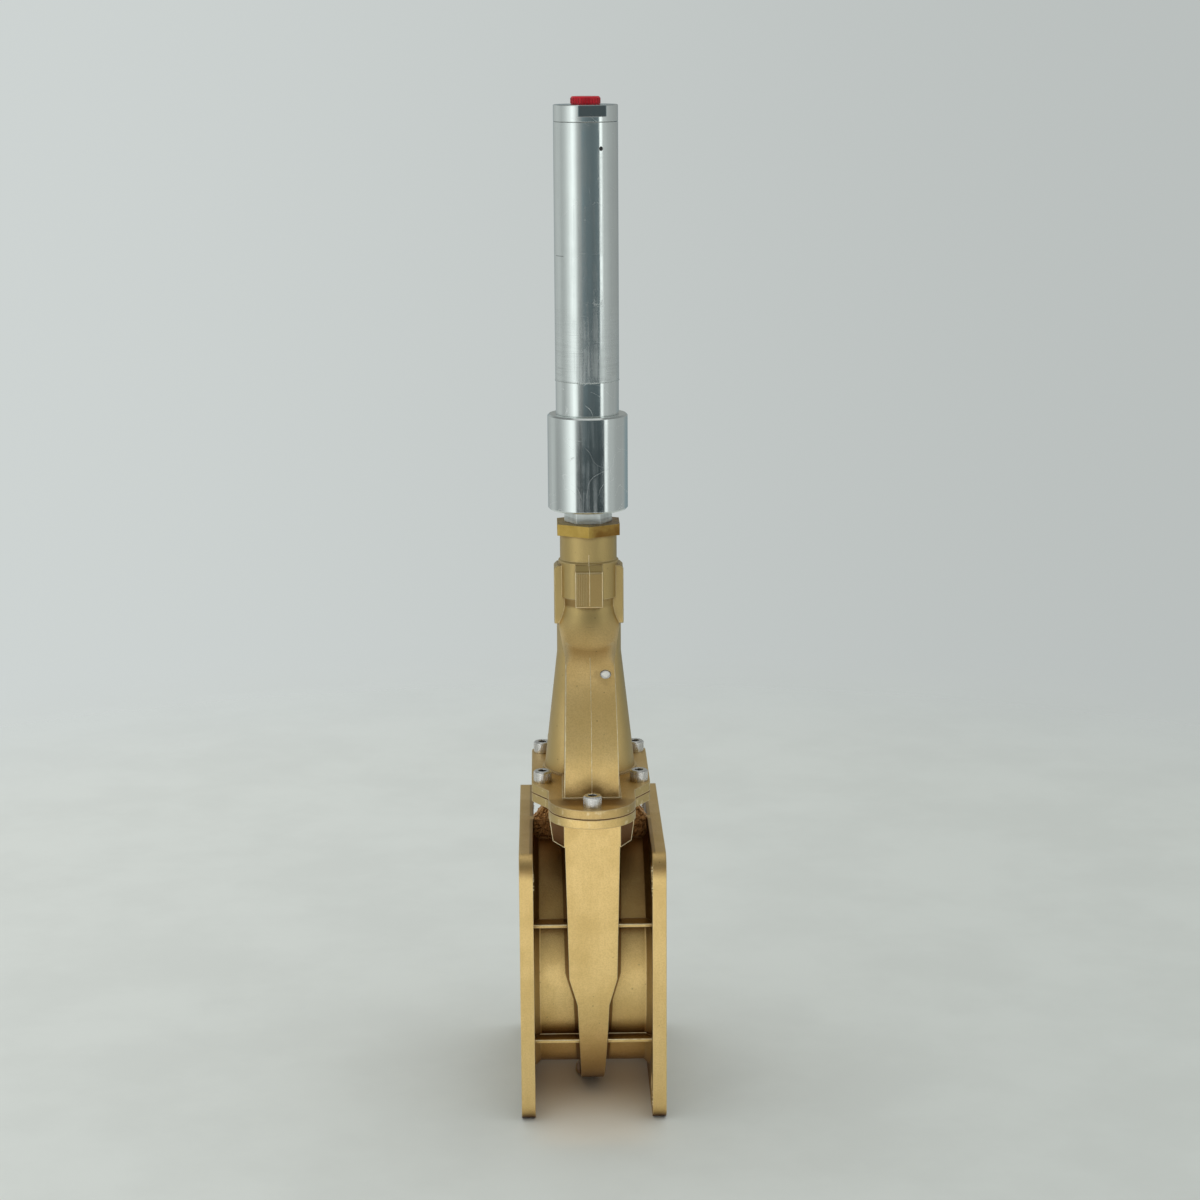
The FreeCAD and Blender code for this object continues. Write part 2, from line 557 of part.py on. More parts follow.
# Valve body
def build_valve_body():
    body = new_body("valve_body")

    profile = new_sketch(body, "housing_profile", "XZ_Plane")
    foot = f"({AXIS} - {HOUSING_RADIUS})"
    waist = f"({AXIS} - Sizes.waist_drop)"
    shoulder = f"({AXIS} + Sizes.shoulder_rise)"
    side = "Sizes.housing_foot_width / 2"
    cut = "Sizes.nose_round * (1 - sqrt(2) / 2)"
    steps = [(f"{side} - Sizes.nose_round", foot), (f"{side} - {cut}", f"{foot} + {cut}"),
             (side, f"{foot} + Sizes.nose_round"),
             ("Sizes.housing_waist_width / 2", waist),
             ("Sizes.housing_shoulder_width / 2", shoulder),
             ("Sizes.housing_top_width / 2", JOINT_UNDERSIDE)]
    draw_outline(profile, steps + [(f"-{across}", up) for across, up in reversed(steps)])
    pad(body, profile, f"2 * {HOUSING_RADIUS}", symmetric=True)

    outline = new_sketch(body, "housing_outline", "YZ_Plane")
    draw_arch(outline, HOUSING_RADIUS, AXIS, f"{JOINT} + {BEYOND}")
    draw_outline(outline, box_corners(f"{HOUSING_RADIUS} + {BEYOND}", f"-{BEYOND}",
                                      f"{JOINT} + 2 * {BEYOND}"))
    pocket(body, outline, "2 * Sizes.housing_top_width", symmetric=True)

    lower = new_sketch(body, "mouth_foot", "XY_Plane", MOUTH_FOOT)
    upper = new_sketch(body, "mouth_head", "XY_Plane", JOINT_UNDERSIDE)
    for sketch, width in ((lower, "Sizes.mouth_foot_width / 2"),
                          (upper, "Sizes.mouth_head_width / 2")):
        nose = "Sizes.housing_top_width / 2"
        end = HOUSING_RADIUS
        taper = f"({HOUSING_RADIUS} - Sizes.mouth_taper)"
        draw_outline(sketch, [
            (nose, f"-{end}"), (width, f"-{taper}"), (width, taper), (nose, end),
            (f"-{nose}", end), (f"-{width}", taper), (f"-{width}", f"-{taper}"),
            (f"-{nose}", f"-{end}")])
    mouth = body.newObject("PartDesign::AdditiveLoft", "mouth")
    mouth.Profile = lower
    mouth.Sections = [upper]
    mouth.Ruled = True
    doc.recompute()

    joint_plate(body, "joint_flange", JOINT_UNDERSIDE, size("lid_thickness"))
    round_ears(body, "joint_flange_ears", JOINT_UNDERSIDE)

    pipe = new_sketch(body, "pipe", "YZ_Plane")
    draw_circle(pipe, f"2 * {PIPE_RADIUS}", "0", AXIS)
    pad(body, pipe, "Sizes.face_to_face - Sizes.flange_thickness", symmetric=True)

    flange = new_sketch(body, "pipe_flange", "YZ_Plane", FLANGE_INSIDE)
    draw_outline(flange, box_corners(AXIS, "0", FLANGE_SIDE))
    flange_pad = pad(body, flange, size("flange_thickness"))
    mirror(body, [flange_pad], "YZ_Plane")

    def flange_corner(edge):
        box = edge.BoundBox
        along_pipe = near(box.XLength, size("flange_thickness")) and box.YLength < 0.01
        at_side = near(abs(box.YMin), AXIS)
        at_end = near(box.ZMin, "0") or near(box.ZMin, FLANGE_SIDE)
        return along_pipe and at_side and at_end

    dress(body, "Fillet", "flange_corners", flange_corner, size("flange_corner"))

    def pipe_root(edge):
        curve = edge.Curve
        round_edge = isinstance(curve, Part.Circle) and near(curve.Radius, PIPE_RADIUS)
        return round_edge and near(abs(curve.Center.x), FLANGE_INSIDE)

    dress(body, "Chamfer", "pipe_roots", pipe_root, size("neck_flare"))

    for name, top in (("upper_rib", f"({AXIS} + Sizes.rib_rise)"),
                      ("lower_rib", f"({AXIS} - Sizes.rib_rise + Sizes.rib_thickness)")):
        rib = new_sketch(body, name, "XY_Plane", top)
        draw_outline(rib, box_corners(FLANGE_INSIDE, f"-{PIPE_RADIUS}", PIPE_RADIUS))
        pad(body, rib, size("rib_thickness"), downward=True)

    web = new_sketch(body, "upright_web", "XZ_Plane")
    root = f"({AXIS} + Sizes.bore / 2)"
    crest = f"({FLANGE_SIDE} + Sizes.web_rise)"
    inside = "Sizes.housing_top_width / 2"
    draw_outline(web, [
        (FLANGE_INSIDE, root), (FLANGE_INSIDE, FLANGE_SIDE), ("Sizes.mouth_foot_width / 2", crest),
        (inside, crest), (f"-{inside}", crest), ("-Sizes.mouth_foot_width / 2", crest),
        (f"-{FLANGE_INSIDE}", FLANGE_SIDE), (f"-{FLANGE_INSIDE}", root)])
    pad(body, web, size("web_thickness"), symmetric=True)

    bore = new_sketch(body, "pipe_bore", "YZ_Plane")
    draw_circle(bore, size("bore"), "0", AXIS)
    pocket(body, bore, f"Sizes.face_to_face + 2 * {BEYOND}", symmetric=True)

    slot = new_sketch(body, "gate_slot", "YZ_Plane")
    draw_arch(slot, CAVITY_RADIUS, AXIS, f"{JOINT} + {BEYOND}")
    pocket(body, slot, SLOT_WIDTH, symmetric=True)

    seats = new_sketch(body, "seal_seats", "YZ_Plane")
    draw_circle(seats, "Sizes.bore + 2 * Sizes.seal_width + 2 * Sizes.thread_gap", "0", AXIS)
    depth = "Sizes.gate_thickness + 2 * (Sizes.seal_gap + Sizes.seal_thickness + Sizes.thread_gap)"
    pocket(body, seats, depth, symmetric=True)

    well = new_sketch(body, "clevis_well", "XY_Plane", f"{CLEVIS_FOOT} - Sizes.head_room")
    draw_circle(well, size("chamber_width"))
    pocket(body, well, f"{JOINT} - {CLEVIS_FOOT} + Sizes.head_room", forward=True)

    opening = mouth_opening(body, "mouth_hollow", f"{MOUTH_FOOT} + Sizes.mouth_wall")
    pocket(body, opening, f"{JOINT} - {MOUTH_FOOT}", forward=True)

    holes = new_sketch(body, "flange_holes", "YZ_Plane", FLANGE_INSIDE)
    pitch = "Sizes.bolt_spacing / 2"
    for along in (f"-{pitch}", pitch):
        for up in (f"{AXIS} - {pitch}", f"{AXIS} + {pitch}"):
            draw_circle(holes, size("bolt_hole"), along, up)
    hole_cut = pocket(body, holes, "Sizes.flange_thickness", forward=True)
    mirror(body, [hole_cut], "YZ_Plane")

    taps = screw_circles(body, "joint_taps", JOINT, "Sizes.screw_size + 2 * Sizes.thread_gap")
    pocket(body, taps, "Sizes.lid_thickness")
    keep(body, "valve_body")


# Bonnet
def build_cove(body):
    """Hollow curve, turned round the stem axis, that leads from the crown of the
    dome up to the boss. Its sides are cut slanting, so that it narrows from the
    width of the boss to the width of the dome."""
    radius = size("cove_radius")
    neck = "Sizes.cove_neck_width / 2"
    span = f"({DOME_RADIUS} + {radius})"
    across = f"({neck} + {radius})"
    centre = f"({OPEN_CENTRE} + sqrt({span} * {span} - {across} * {across}) - Sizes.cove_sink)"
    reach = f"({DOME_RADIUS} * {across} / {span})"
    sketch = new_sketch(body, "cove", "XZ_Plane")
    middle = FreeCAD.Vector(value(across), value(centre), 0)
    r = value(radius)
    full = Part.Circle(middle, FreeCAD.Vector(0, 0, 1), r)
    last = pi + acos((value(across) - value(reach)) / r)
    lip = FreeCAD.Vector(value(reach), middle.y + r * sin(last), 0)
    outer_foot = FreeCAD.Vector(value(reach), value(THROAT), 0)
    inner_foot = FreeCAD.Vector(0, value(THROAT), 0)
    top = FreeCAD.Vector(0, middle.y, 0)
    start = FreeCAD.Vector(value(neck), middle.y, 0)
    arc = sketch.addGeometry(Part.ArcOfCircle(full, pi, last), False)
    path = [lip, outer_foot, inner_foot, top, start]
    lines = [sketch.addGeometry(Part.LineSegment(a, b), False) for a, b in zip(path, path[1:])]
    chain = [arc] + lines
    for first, second in zip(chain, chain[1:] + [arc]):
        sketch.addConstraint(Sketcher.Constraint("Coincident", first, 2, second, 1))
    pin(sketch, arc, 3, across, centre)
    index = sketch.addConstraint(Sketcher.Constraint("Radius", arc, r))
    sketch.setExpression(f"Constraints[{index}]", radius)
    sketch.addConstraint(Sketcher.Constraint("Vertical", lines[0]))
    sketch.addConstraint(Sketcher.Constraint("Horizontal", lines[3]))
    pin(sketch, lines[1], 1, reach, THROAT)
    pin(sketch, lines[2], 1, "0", THROAT)
    pin(sketch, lines[3], 1, "0", centre)
    revolve(body, sketch)

    sides = new_sketch(body, "cove_sides", "XZ_Plane")
    narrow = "(Sizes.dome_head_width / 2 - Sizes.thread_gap)"
    wide = "Sizes.boss_width / 2"
    widest = f"{THROAT} + Sizes.throat_length"
    beyond = f"({reach} + {BEYOND})"
    for sign in ("", "-"):
        draw_outline(sides, [(f"{sign}{across}", up) for across, up in (
            (narrow, f"{THROAT} - {BEYOND}"), (beyond, f"{THROAT} - {BEYOND}"),
            (beyond, f"{centre} + {BEYOND}"), (wide, f"{centre} + {BEYOND}"), (wide, widest),
            (narrow, THROAT))])
    pocket(body, sides, f"2 * {beyond}", symmetric=True)


def build_bonnet():
    body = new_body("bonnet")

    profile = new_sketch(body, "dome_profile", "XZ_Plane")
    crown = f"({OPEN_CENTRE} + {DOME_RADIUS})"
    half_foot = "Sizes.dome_foot_width / 2"
    half_head = "Sizes.dome_head_width / 2"
    draw_outline(profile, [(f"-{half_foot}", LID_UNDERSIDE), (half_foot, LID_UNDERSIDE),
                           (half_head, crown), (f"-{half_head}", crown)])
    pad(body, profile, f"2 * {DOME_RADIUS}", symmetric=True)
    outline = new_sketch(body, "dome_outline", "YZ_Plane")
    draw_arch(outline, DOME_RADIUS, OPEN_CENTRE, f"{LID_UNDERSIDE} - {BEYOND}")
    draw_outline(outline, box_corners(f"{DOME_RADIUS} + {BEYOND}", f"{LID_UNDERSIDE} - 2 * {BEYOND}",
                                      f"{crown} + {BEYOND}"))
    pocket(body, outline, "2 * Sizes.dome_foot_width", symmetric=True)

    build_cove(body)

    joint_plate(body, "lid_flange", LID_UNDERSIDE, size("lid_thickness"))
    round_ears(body, "lid_flange_ears", LID_UNDERSIDE)

    bead = new_sketch(body, "dome_bead", "XY_Plane", DECK)
    reach = f"({DOME_RADIUS} + Sizes.bead_width)"
    draw_outline(bead, box_corners("Sizes.dome_foot_width / 2 + Sizes.bead_width", f"-{reach}", reach))
    pad(body, bead, size("bead_height"))
    round_bead = new_sketch(body, "tower_bead", "XY_Plane", DECK)
    draw_circle(round_bead, "Sizes.tower_foot_width + 2 * Sizes.bead_width")
    pad(body, round_bead, size("bead_height"))

    tower = new_sketch(body, "tower_profile", "XZ_Plane")
    shoulder = f"({THROAT} + Sizes.throat_length)"
    draw_outline(tower, [
        ("0", DECK), ("Sizes.tower_foot_width / 2", DECK),
        ("Sizes.tower_throat_width / 2", THROAT), ("Sizes.tower_throat_width / 2", shoulder),
        ("Sizes.waist_width / 2", f"{shoulder} + Sizes.throat_taper"),
        ("Sizes.waist_width / 2", BOSS_FOOT), ("Sizes.boss_width / 2", BOSS_FOOT),
        ("Sizes.boss_width / 2", BOSS_TOP),
        ("Sizes.neck_width / 2", f"{BOSS_TOP} + Sizes.boss_width / 2 - Sizes.neck_width / 2"),
        ("Sizes.neck_width / 2", NECK_TOP), ("0", NECK_TOP)])
    revolve(body, tower)

    reach = size("wrench_pad_reach")
    for name, plane, height, drop in (
            ("side_pads", "XZ_Plane", "side_pad_height", "side_pad_drop"),
            ("front_pads", "YZ_Plane", "front_pad_height", "front_pad_drop")):
        low = f"({BOSS_FOOT} - {size(drop)})"
        high = f"({low} + {size(height)})"
        sketch = new_sketch(body, name, plane)
        slope = size("pad_slope")
        draw_outline(sketch, [
            (f"-{reach}", low), (reach, low), (reach, f"{high} - {slope}"),
            (f"{reach} - {slope}", high), (f"-{reach} + {slope}", high),
            (f"-{reach}", f"{high} - {slope}")])
        pad(body, sketch, size("wrench_pad_width"), symmetric=True)

    cavity = new_sketch(body, "dome_cavity", "YZ_Plane")
    draw_arch(cavity, CAVITY_RADIUS, OPEN_CENTRE, f"{LID_UNDERSIDE} - {BEYOND}")
    pocket(body, cavity, "Sizes.dome_foot_width - 2 * Sizes.dome_wall", symmetric=True)

    stem_bore = new_sketch(body, "stem_bore", "XZ_Plane")
    chamber = "Sizes.chamber_width / 2"
    seat = "(Sizes.bush_width / 2 + Sizes.thread_gap)"
    stuffing = "(Sizes.packing_width / 2 + Sizes.thread_gap)"
    thread = "(Sizes.gland_thread / 2 + Sizes.thread_gap)"
    draw_outline(stem_bore, [
        ("0", LID_UNDERSIDE), ("Sizes.core_foot_width / 2", LID_UNDERSIDE), (chamber, THROAT),
        (chamber, CHAMBER_TOP), (seat, CHAMBER_TOP),
        (seat, f"{CHAMBER_TOP} + Sizes.bush_length"),
        (stuffing, f"{CHAMBER_TOP} + Sizes.bush_length"), (stuffing, GLAND_FOOT),
        (thread, GLAND_FOOT), (thread, NECK_TOP), ("0", NECK_TOP)])
    groove(body, stem_bore)

    holes = screw_circles(body, "joint_holes", LID_UNDERSIDE, SCREW_HOLE)
    pocket(body, holes, "Sizes.lid_thickness", forward=True)

    vent = body.newObject("PartDesign::SubtractiveCylinder", "vent_hole")
    vent.setExpression("Radius", "Sizes.vent_size / 2 + Sizes.thread_gap")
    vent.setExpression("Height", f"Sizes.dome_wall + 2 * {BEYOND}")
    place_on_dome(vent, f"({DOME_RADIUS} - Sizes.dome_wall - {BEYOND})")
    keep(body, "bonnet")


def place_on_dome(feature, reach):
    """Stand a cylinder square to the front of the dome, at the vent."""
    tilt = "Sizes.vent_tilt"
    feature.Placement = FreeCAD.Placement(
        FreeCAD.Vector(0, 0, 0), FreeCAD.Rotation(FreeCAD.Vector(1, 0, 0), 90 - value(tilt)))
    feature.setExpression("Placement.Base.x", size("vent_across"))
    feature.setExpression("Placement.Base.y", f"-{reach} * cos({tilt})")
    feature.setExpression("Placement.Base.z", f"{OPEN_CENTRE} + {reach} * sin({tilt})")
    feature.setExpression("Placement.Rotation.Angle", f"90 - {tilt}")


def build_vent_plug():
    blank = doc.addObject("Part::Cylinder", "vent_blank")
    blank.setExpression("Radius", "Sizes.vent_size / 2")
    blank.setExpression("Height", "Sizes.dome_wall - Sizes.vent_sink")
    place_on_dome(blank, f"({DOME_RADIUS} - Sizes.dome_wall)")
    socket = doc.addObject("Part::Prism", "vent_socket_cut")
    socket.Polygon = 6
    socket.setExpression("Circumradius", "Sizes.vent_socket / 2")
    socket.setExpression("Height", f"Sizes.vent_socket_depth + {BEYOND}")
    place_on_dome(socket, f"({DOME_RADIUS} - Sizes.vent_sink - Sizes.vent_socket_depth)")
    plug = doc.addObject("Part::Cut", "vent_plug")
    plug.Base = blank
    plug.Tool = socket
    keep(plug, "vent_plug")


# Joint of body and bonnet
def build_gasket():
    body = new_body("bonnet_gasket")
    joint_plate(body, "gasket", JOINT, size("gasket_thickness"))
    round_ears(body, "gasket_ears", JOINT)
    opening = mouth_opening(body, "gasket_opening", JOINT)
    pocket(body, opening, size("gasket_thickness"), forward=True)
    holes = screw_circles(body, "gasket_holes", JOINT, SCREW_HOLE)
    pocket(body, holes, size("gasket_thickness"), forward=True)
    keep(body, "bonnet_gasket")


def build_screw(name, across, along):
    """One socket-head screw of the joint, with its head on the deck."""
    body = new_body(name)
    head = new_sketch(body, name + "_head", "XY_Plane")
    draw_circle(head, size("screw_head_width"))
    pad(body, head, size("screw_head_height"))
    shank = new_sketch(body, name + "_shank", "XY_Plane")
    draw_circle(shank, size("screw_size"))
    pad(body, shank, size("screw_length"), downward=True)
    socket = new_sketch(body, name + "_socket", "XY_Plane", size("screw_head_height"))
    draw_outline(socket, hexagon_corners("Sizes.screw_socket", True))
    pocket(body, socket, size("screw_socket_depth"))

    def chamfered(edge):
        top = is_circle(edge, size("screw_head_width"), size("screw_head_height"))
        return top or is_circle(edge, size("screw_size"), "-Sizes.screw_length")

    dress(body, "Chamfer", name + "_edges", chamfered, size("screw_edge"))
    body.setExpression("Placement.Base.x", across)
    body.setExpression("Placement.Base.y", along)
    body.setExpression("Placement.Base.z", DECK)
    return body


def mirrored_copy(source, name, normal):
    copy = doc.addObject("Part::Mirroring", name)
    copy.Source = source
    copy.Normal = normal
    return copy


def build_screws():
    along_pipe = FreeCAD.Vector(1, 0, 0)
    across_pipe = FreeCAD.Vector(0, 1, 0)
    end_screw = build_screw("end_screw", "0", f"-{END_SCREW}")
    ends = doc.addObject("Part::Compound", "end_screws")
    ends.Links = [end_screw, mirrored_copy(end_screw, "far_end_screw", across_pipe)]
    keep(ends, "end_screws")
    side_screw = build_screw("side_screw", SIDE_SCREW,
                             "-(Sizes.ear_length - Sizes.side_screw_inset)")
    other_side = mirrored_copy(side_screw, "left_side_screw", along_pipe)
    sides = doc.addObject("Part::Compound", "side_screws")
    sides.Links = [side_screw, other_side,
                   mirrored_copy(side_screw, "far_right_screw", across_pipe),
                   mirrored_copy(other_side, "far_left_screw", across_pipe)]
    keep(sides, "side_screws")


# Gate seals, one on each side of the blade
def build_seals():
    for name, sign in (("seal_left", "-"), ("seal_right", "")):
        body = new_body(name)
        middle = "(Sizes.gate_thickness / 2 + Sizes.seal_gap + Sizes.seal_thickness / 2)"
        sketch = new_sketch(body, name + "_ring", "YZ_Plane", f"{sign}{middle}")
        draw_circle(sketch, "Sizes.bore + 2 * Sizes.seal_width", "0", AXIS)
        draw_circle(sketch, size("bore"), "0", AXIS)
        pad(body, sketch, size("seal_thickness"), symmetric=True)
        keep(body, name)


# Gate, clevis and rod
def build_gate():
    body = new_body("gate")
    blade = new_sketch(body, "blade", "YZ_Plane")
    draw_circle(blade, f"2 * {GATE_RADIUS}", "0", AXIS)
    pad(body, blade, size("gate_thickness"), symmetric=True)

    def rim(edge):
        curve = edge.Curve
        return isinstance(curve, Part.Circle) and near(curve.Radius, GATE_RADIUS)

    dress(body, "Chamfer", "blade_edges", rim, size("gate_edge"))
    tongue = new_sketch(body, "tongue", "YZ_Plane")
    draw_outline(tongue, box_corners("Sizes.tongue_width / 2", AXIS, TONGUE_TOP))
    pad(body, tongue, size("gate_thickness"), symmetric=True)
    hole = new_sketch(body, "pin_hole", "YZ_Plane")
    draw_circle(hole, "Sizes.pin_size + 2 * Sizes.thread_gap", "0", PIN_HEIGHT)
    pocket(body, hole, f"Sizes.gate_thickness + 2 * {BEYOND}", symmetric=True)
    keep(body, "gate")


def build_clevis():
    body = new_body("gate_clevis")
    blank = new_sketch(body, "clevis_blank", "XY_Plane", CLEVIS_FOOT)
    draw_circle(blank, size("clevis_width"))
    pad(body, blank, f"{CLEVIS_TOP} - {CLEVIS_FOOT}")

    def rim(edge):
        wide = size("clevis_width")
        return is_circle(edge, wide, CLEVIS_FOOT) or is_circle(edge, wide, CLEVIS_TOP)

    dress(body, "Chamfer", "clevis_edges", rim, size("gate_edge"))
    slot = new_sketch(body, "clevis_slot", "XZ_Plane")
    half = "(Sizes.gate_thickness / 2 + Sizes.clevis_slot_gap)"
    top = f"({TONGUE_TOP} + 2 * Sizes.clevis_slot_gap)"
    draw_outline(slot, box_corners(half, f"{CLEVIS_FOOT} - {BEYOND}", top))
    pocket(body, slot, f"Sizes.clevis_width + 2 * {BEYOND}", symmetric=True)
    hole = new_sketch(body, "clevis_pin_hole", "YZ_Plane")
    draw_circle(hole, "Sizes.pin_size + 2 * Sizes.thread_gap", "0", PIN_HEIGHT)
    pocket(body, hole, f"Sizes.clevis_width + 2 * {BEYOND}", symmetric=True)
    thread = new_sketch(body, "clevis_thread", "XY_Plane", CLEVIS_TOP)
    draw_circle(thread, "Sizes.rod_foot_size + 2 * Sizes.thread_gap")
    pocket(body, thread, "Sizes.clevis_crown")
    keep(body, "gate_clevis")


def build_clevis_pin():
    pin_body = new_body("clevis_pin")
    sketch = new_sketch(pin_body, "pin_round", "YZ_Plane")
    draw_circle(sketch, size("pin_size"), "0", PIN_HEIGHT)
    pad(pin_body, sketch, "Sizes.clevis_width - 2 * Sizes.gate_edge", symmetric=True)
    keep(pin_body, "clevis_pin")


def build_rod():
    foot = "Sizes.rod_foot_size / 2"
    shaft = "Sizes.rod_size / 2"
    tip = "Sizes.rod_tip_size / 2"
    low = f"({TONGUE_TOP} + 3 * Sizes.clevis_slot_gap)"
    keep(turned("piston_rod", [
        ("0", low), (foot, low), (foot, CLEVIS_TOP), (shaft, CLEVIS_TOP), (shaft, PISTON_FOOT),
        (tip, PISTON_FOOT), (tip, ROD_TOP), ("0", ROD_TOP)]), "piston_rod")


def build_piston():
    outer = f"{PISTON_WIDTH} / 2"
    floor = f"{PISTON_GROOVE} / 2"
    inner = "(Sizes.rod_tip_size / 2 + Sizes.thread_gap)"
    gap = "Sizes.thread_gap"
    guide_low = "Sizes.groove_land"
    guide_high = f"({guide_low} + Sizes.guide_ring_height + 2 * {gap})"
    seal_high = f"(Sizes.piston_height - Sizes.groove_land)"
    seal_low = f"({seal_high} - Sizes.piston_seal_height - 2 * {gap})"
    keep(turned("piston", [
        (inner, "0"), (outer, "0"), (outer, guide_low), (floor, guide_low), (floor, guide_high),
        (outer, guide_high), (outer, seal_low), (floor, seal_low), (floor, seal_high),
        (outer, seal_high), (outer, "Sizes.piston_height"), (inner, "Sizes.piston_height")],
        PISTON_FOOT), "piston")
    running = f"({TUBE_BORE} - 2 * Sizes.running_gap)"
    seat = f"({PISTON_GROOVE} + 2 * {gap})"
    keep(turned("piston_guide_ring", ring_corners(running, seat, size("guide_ring_height")),
                f"{PISTON_FOOT} + {guide_low} + {gap}"), "piston_guide_ring")
    keep(turned("piston_seal", ring_corners(running, seat, size("piston_seal_height")),
                f"{PISTON_FOOT} + {seal_low} + {gap}"), "piston_seal")


def hex_nut(name, flats, corner_forward, height, hole, level):
    """Hexagon nut. Where a flat faces the front, the upper corners are bevelled."""
    body = new_body(name)
    sketch = new_sketch(body, name + "_hexagon", "XY_Plane")
    draw_outline(sketch, hexagon_corners(flats, corner_forward))
    pad(body, sketch, height)
    bore = new_sketch(body, name + "_hole", "XY_Plane", height)
    draw_circle(bore, hole)
    pocket(body, bore, height)
    if not corner_forward:
        bevel = new_sketch(body, name + "_bevel", "XZ_Plane")
        inside = f"{flats} / 2"
        outside = f"({flats} / sqrt(3) + {BEYOND})"
        fall = f"({outside} - {inside}) * tan(Sizes.nut_bevel)"
        draw_outline(bevel, [(inside, height), (outside, f"{height} - {fall}"), (outside, height)])
        groove(body, bevel)
    body.setExpression("Placement.Base.z", level)
    return body


def build_piston_nut():
    hole = "Sizes.rod_tip_size + 2 * Sizes.thread_gap"
    keep(hex_nut("piston_nut", size("piston_nut_flats"), False, size("piston_nut_height"),
                 hole, PISTON_TOP), "piston_nut")


# Stem packing
def build_packing():
    inner = f"({RUNNING_BORE} / 2)"
    bush = "Sizes.bush_width / 2"
    collar = "Sizes.packing_width / 2"
    length = size("bush_length")
    top = "(Sizes.bush_length + Sizes.bush_collar)"
    keep(turned("guide_bush", [
        (inner, "0"), (bush, "0"), (bush, length), (collar, length), (collar, top), (inner, top)],
        CHAMBER_TOP), "guide_bush")
    for number in (1, 2, 3):
        name = f"packing_ring_{number}"
        level = f"{PACKING_FOOT} + {number - 1} * Sizes.packing_height"
        keep(turned(name, ring_corners(size("packing_width"), RUNNING_BORE, size("packing_height")),
                    level), name)
    clear_bore = "Sizes.rod_size + 2 * Sizes.nipple_hole_gap"
    keep(turned("packing_follower", ring_corners(size("packing_width"), clear_bore,
                                                 size("follower_height")),
                PACKING_TOP), "packing_follower")


def build_gland_nut():
    body = hex_nut("gland_nut", size("gland_flats"), True, size("gland_head"),
                   "Sizes.nipple_size + 2 * Sizes.thread_gap", NECK_TOP)
    thread = new_sketch(body, "gland_thread", "XZ_Plane")
    outer = "Sizes.gland_thread / 2"
    wide = "(Sizes.nipple_size / 2 + Sizes.thread_gap)"
    narrow = "(Sizes.rod_size / 2 + Sizes.nipple_hole_gap)"
    seat = "(Sizes.gland_head - Sizes.nipple_engagement)"
    draw_outline(thread, [
        (narrow, "-Sizes.gland_depth"), (outer, "-Sizes.gland_depth"), (outer, "0"),
        (wide, "0"), (wide, seat), (narrow, seat)])
    revolve(body, thread)
    keep(body, "gland_nut")


def build_nipple():
    hole = "Sizes.rod_size + 2 * Sizes.nipple_hole_gap"
    foot = f"({GLAND_TOP} - Sizes.nipple_engagement)"
    length = f"({SLEEVE_FLOOR} - {foot})"
    keep(turned("threaded_nipple", ring_corners(size("nipple_size"), hole, length), foot),
         "threaded_nipple")
    keep(hex_nut("lock_nut", size("lock_flats"), False, size("lock_height"),
                 "Sizes.nipple_size + 2 * Sizes.thread_gap", GLAND_TOP), "lock_nut")


# Hydraulic cylinder
def oring(name, floor, level):
    """Rubber ring with eight sides that stands on the floor of its groove."""
    inner = f"({floor} + Sizes.thread_gap / 2)"
    outer = f"({inner} + Sizes.oring_section)"
    height = size("oring_section")
    cut = "(Sizes.oring_section * (1 - sqrt(2) / 2))"
    keep(turned(name, [
        (f"{inner} + {cut}", "0"), (f"{outer} - {cut}", "0"), (outer, cut),
        (outer, f"{height} - {cut}"), (f"{outer} - {cut}", height), (f"{inner} + {cut}", height),
        (inner, f"{height} - {cut}"), (inner, cut)], f"{level} + Sizes.oring_side_gap"), name)


def groove_steps(outer, floor, low):
    """Corners of an O-ring groove in a profile that runs upwards."""
    high = f"({low} + {ORING_GROOVE})"
    return [(outer, low), (floor, low), (floor, high), (outer, high)]


def build_lower_head():
    body = new_body("lower_head")
    sketch = new_sketch(body, "head_profile", "XZ_Plane")
    outer = "Sizes.sleeve_width / 2"
    edge = size("sleeve_edge")
    thread = "(Sizes.nipple_size / 2 + Sizes.thread_gap)"
    gland = "(Sizes.rod_gland_width / 2 + Sizes.thread_gap)"
    clip = "(Sizes.circlip_width / 2 + Sizes.thread_gap)"
    spigot = "(Sizes.socket_spigot / 2 + Sizes.thread_gap)"
    floor = size("sleeve_floor")
    top = size("sleeve_height")
    clip_low = "(Sizes.sleeve_floor + Sizes.rod_gland_height)"
    clip_high = f"({clip_low} + Sizes.circlip_thickness + Sizes.thread_gap)"
    spigot_low = f"({top} - Sizes.socket_spigot_depth)"
    draw_outline(sketch, [
        (thread, "0"), (f"{outer} - {edge}", "0"), (outer, edge), (outer, f"{top} - {edge}"),
        (f"{outer} - {edge}", top), (spigot, top), (spigot, spigot_low), (gland, spigot_low),
        (gland, clip_high), (clip, clip_high), (clip, clip_low), (gland, clip_low),
        (gland, floor), (thread, floor)])
    revolve(body, sketch)
    port = new_sketch(body, "side_port", "XZ_Plane")
    draw_circle(port, size("port_size"), "0", size("port_rise"))
    pocket(body, port, outer)
    flat = new_sketch(body, "port_flat", "XZ_Plane", "-Sizes.port_face")
    draw_circle(flat, size("port_face_width"), "0", size("port_rise"))
    pocket(body, flat, "Sizes.sleeve_width")
    body.setExpression("Placement.Base.z", SLEEVE_FOOT)
    keep(body, "lower_head")


